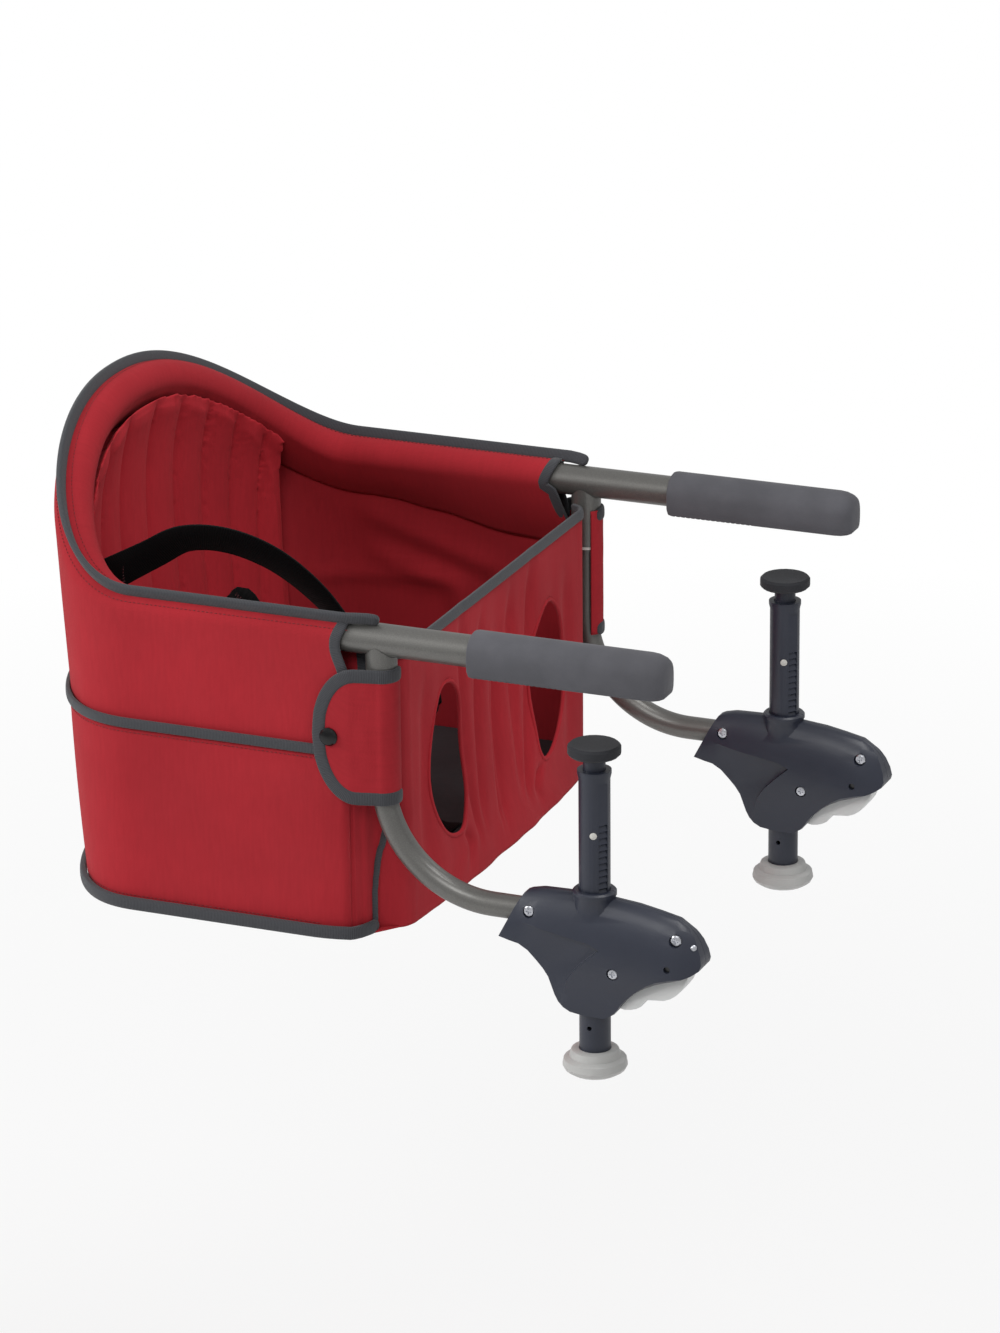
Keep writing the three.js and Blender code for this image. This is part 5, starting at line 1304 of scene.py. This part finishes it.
class ChairFinishes(bpy.types.PropertyGroup):
    """Colours of the chair, as they look in plain light; the pad's colour is the cloth made lighter, which is painted
    light.
    """

    cloth: hue("Cloth", "Colour of the seat's cloth", "#A9262F")
    # A lighter copy of the cloth's colour: painted light on the pad, which faces the front.
    pad: hue("Pad", "Colour of the back pad's cloth", "#BC2B35")
    binding: hue("Binding", "Colour of the sewn bindings", "#424347")
    webbing: hue("Webbing", "Colour of the straps", "#0B0B0C")
    enamel: hue("Enamel", "Colour of the enamelled tubes", "#6B6A67")
    rubber: hue("Grip rubber", "Colour of the grips on the table", "#545459")
    housing: hue("Housing", "Colour of the clamp housings and posts", "#272B38")
    knob: hue("Knob", "Colour of the hand knobs", "#B4B4B2")
    weave: size("Weave pitch", "Distance between two threads of the cloth", 0.0009, 0.0003, 0.004)


class ChairSizes(bpy.types.PropertyGroup):
    """Sizes of the sewn trims."""

    rim_binding: size("Rim binding", "Width of the binding on the rim", 0.0088)
    pocket_binding: size("Pocket binding", "Width of the binding on the pocket's edge", 0.0072)
    base_binding: size("Base binding", "Width of the binding round the seat's bottom", 0.0090)
    flap_binding: size("Flap binding", "Width of the binding round the flaps", 0.0094)
    sleeve_binding: size("Sleeve binding", "Width of the binding on the sleeves' ends and the front", 0.0076)


class CHAIR_OT_studio(bpy.types.Operator):
    """Floor, white surroundings, soft lamps and the camera."""

    bl_idname = "chair.studio"
    bl_label = "Studio"

    def execute(self, context):
        make_stage()
        return {"FINISHED"}


class CHAIR_OT_tubes(bpy.types.Operator):
    """The bent frame tube and both lower arms."""

    bl_idname = "chair.tubes"
    bl_label = "Steel tubes"

    def execute(self, context):
        make_tubes()
        return {"FINISHED"}


class CHAIR_OT_seat_wall(bpy.types.Operator):
    """The cloth of the back and sides, with the hem that wraps the tube."""

    bl_idname = "chair.seat_wall"
    bl_label = "Seat wall"

    def execute(self, context):
        make_seat_wall()
        return {"FINISHED"}


class CHAIR_OT_pocket(bpy.types.Operator):
    """The pocket round the outside of the seat."""

    bl_idname = "chair.pocket"
    bl_label = "Pocket"

    def execute(self, context):
        make_pocket()
        return {"FINISHED"}


class CHAIR_OT_front(bpy.types.Operator):
    """The front panel with its two leg openings."""

    bl_idname = "chair.front"
    bl_label = "Front panel"

    def execute(self, context):
        make_front()
        return {"FINISHED"}


class CHAIR_OT_base(bpy.types.Operator):
    """The cloth under the seat's board."""

    bl_idname = "chair.base"
    bl_label = "Base cloth"

    def execute(self, context):
        make_base()
        return {"FINISHED"}


class CHAIR_OT_back_pad(bpy.types.Operator):
    """The quilted pad, swollen by simulation and sewn in channels."""

    bl_idname = "chair.back_pad"
    bl_label = "Back pad"

    def execute(self, context):
        make_back_pad()
        return {"FINISHED"}


class CHAIR_OT_flaps(bpy.types.Operator):
    """The flaps over the swivels."""

    bl_idname = "chair.flaps"
    bl_label = "Snap flaps"

    def execute(self, context):
        make_flaps()
        return {"FINISHED"}


class CHAIR_OT_straps(bpy.types.Operator):
    """The waist and crotch webbing."""

    bl_idname = "chair.straps"
    bl_label = "Straps"

    def execute(self, context):
        make_straps()
        return {"FINISHED"}


class CHAIR_OT_bindings(bpy.types.Operator):
    """Every sewn binding, grown along its edge."""

    bl_idname = "chair.bindings"
    bl_label = "Bindings"

    def execute(self, context):
        make_bindings()
        return {"FINISHED"}


class CHAIR_OT_stitches(bpy.types.Operator):
    """Rows of thread beside the bindings."""

    bl_idname = "chair.stitches"
    bl_label = "Stitches"

    def execute(self, context):
        make_stitches()
        return {"FINISHED"}


class CHAIR_OT_clamps(bpy.types.Operator):
    """Finishes of the housings, posts, levers and knobs."""

    bl_idname = "chair.clamps"
    bl_label = "Clamps"

    def execute(self, context):
        make_clamps()
        return {"FINISHED"}


class CHAIR_OT_fittings(bpy.types.Operator):
    """Finishes of the grips, sockets, snaps, board and buckle."""

    bl_idname = "chair.fittings"
    bl_label = "Fittings"

    def execute(self, context):
        make_fittings()
        return {"FINISHED"}


class CHAIR_PT_panel(bpy.types.Panel):
    """Builds the chair, one group of pieces at a time."""

    bl_label = "Table Chair"
    bl_idname = "CHAIR_PT_panel"
    bl_space_type = "VIEW_3D"
    bl_region_type = "UI"
    bl_category = "Table Chair"

    def draw(self, context):
        for group in (context.scene.chair_finishes, context.scene.chair_sizes):
            column = self.layout.column(align=True)
            for name in group.bl_rna.properties.keys():
                if name not in ("rna_type", "name"):
                    column.prop(group, name)
        column = self.layout.column(align=True)
        for step in STEPS:
            column.operator("chair." + step)


# The order in which the pieces are made
STEPS = (
    "studio", "tubes", "seat_wall", "pocket", "front", "base", "back_pad", "flaps", "straps", "bindings", "stitches",
    "clamps", "fittings",
)
CLASSES = (
    ChairFinishes, ChairSizes, CHAIR_OT_studio, CHAIR_OT_tubes, CHAIR_OT_seat_wall, CHAIR_OT_pocket, CHAIR_OT_front,
    CHAIR_OT_base, CHAIR_OT_back_pad, CHAIR_OT_flaps, CHAIR_OT_straps, CHAIR_OT_bindings, CHAIR_OT_stitches,
    CHAIR_OT_clamps, CHAIR_OT_fittings, CHAIR_PT_panel,
)


def register():
    for cls in CLASSES:
        bpy.utils.register_class(cls)
    bpy.types.Scene.chair_finishes = bpy.props.PointerProperty(type=ChairFinishes)
    bpy.types.Scene.chair_sizes = bpy.props.PointerProperty(type=ChairSizes)


def unregister():
    del bpy.types.Scene.chair_sizes
    del bpy.types.Scene.chair_finishes
    for cls in reversed(CLASSES):
        bpy.utils.unregister_class(cls)


def main():
    register()
    for step in STEPS:
        getattr(bpy.ops.chair, step)()


if __name__ == "__main__":
    main()
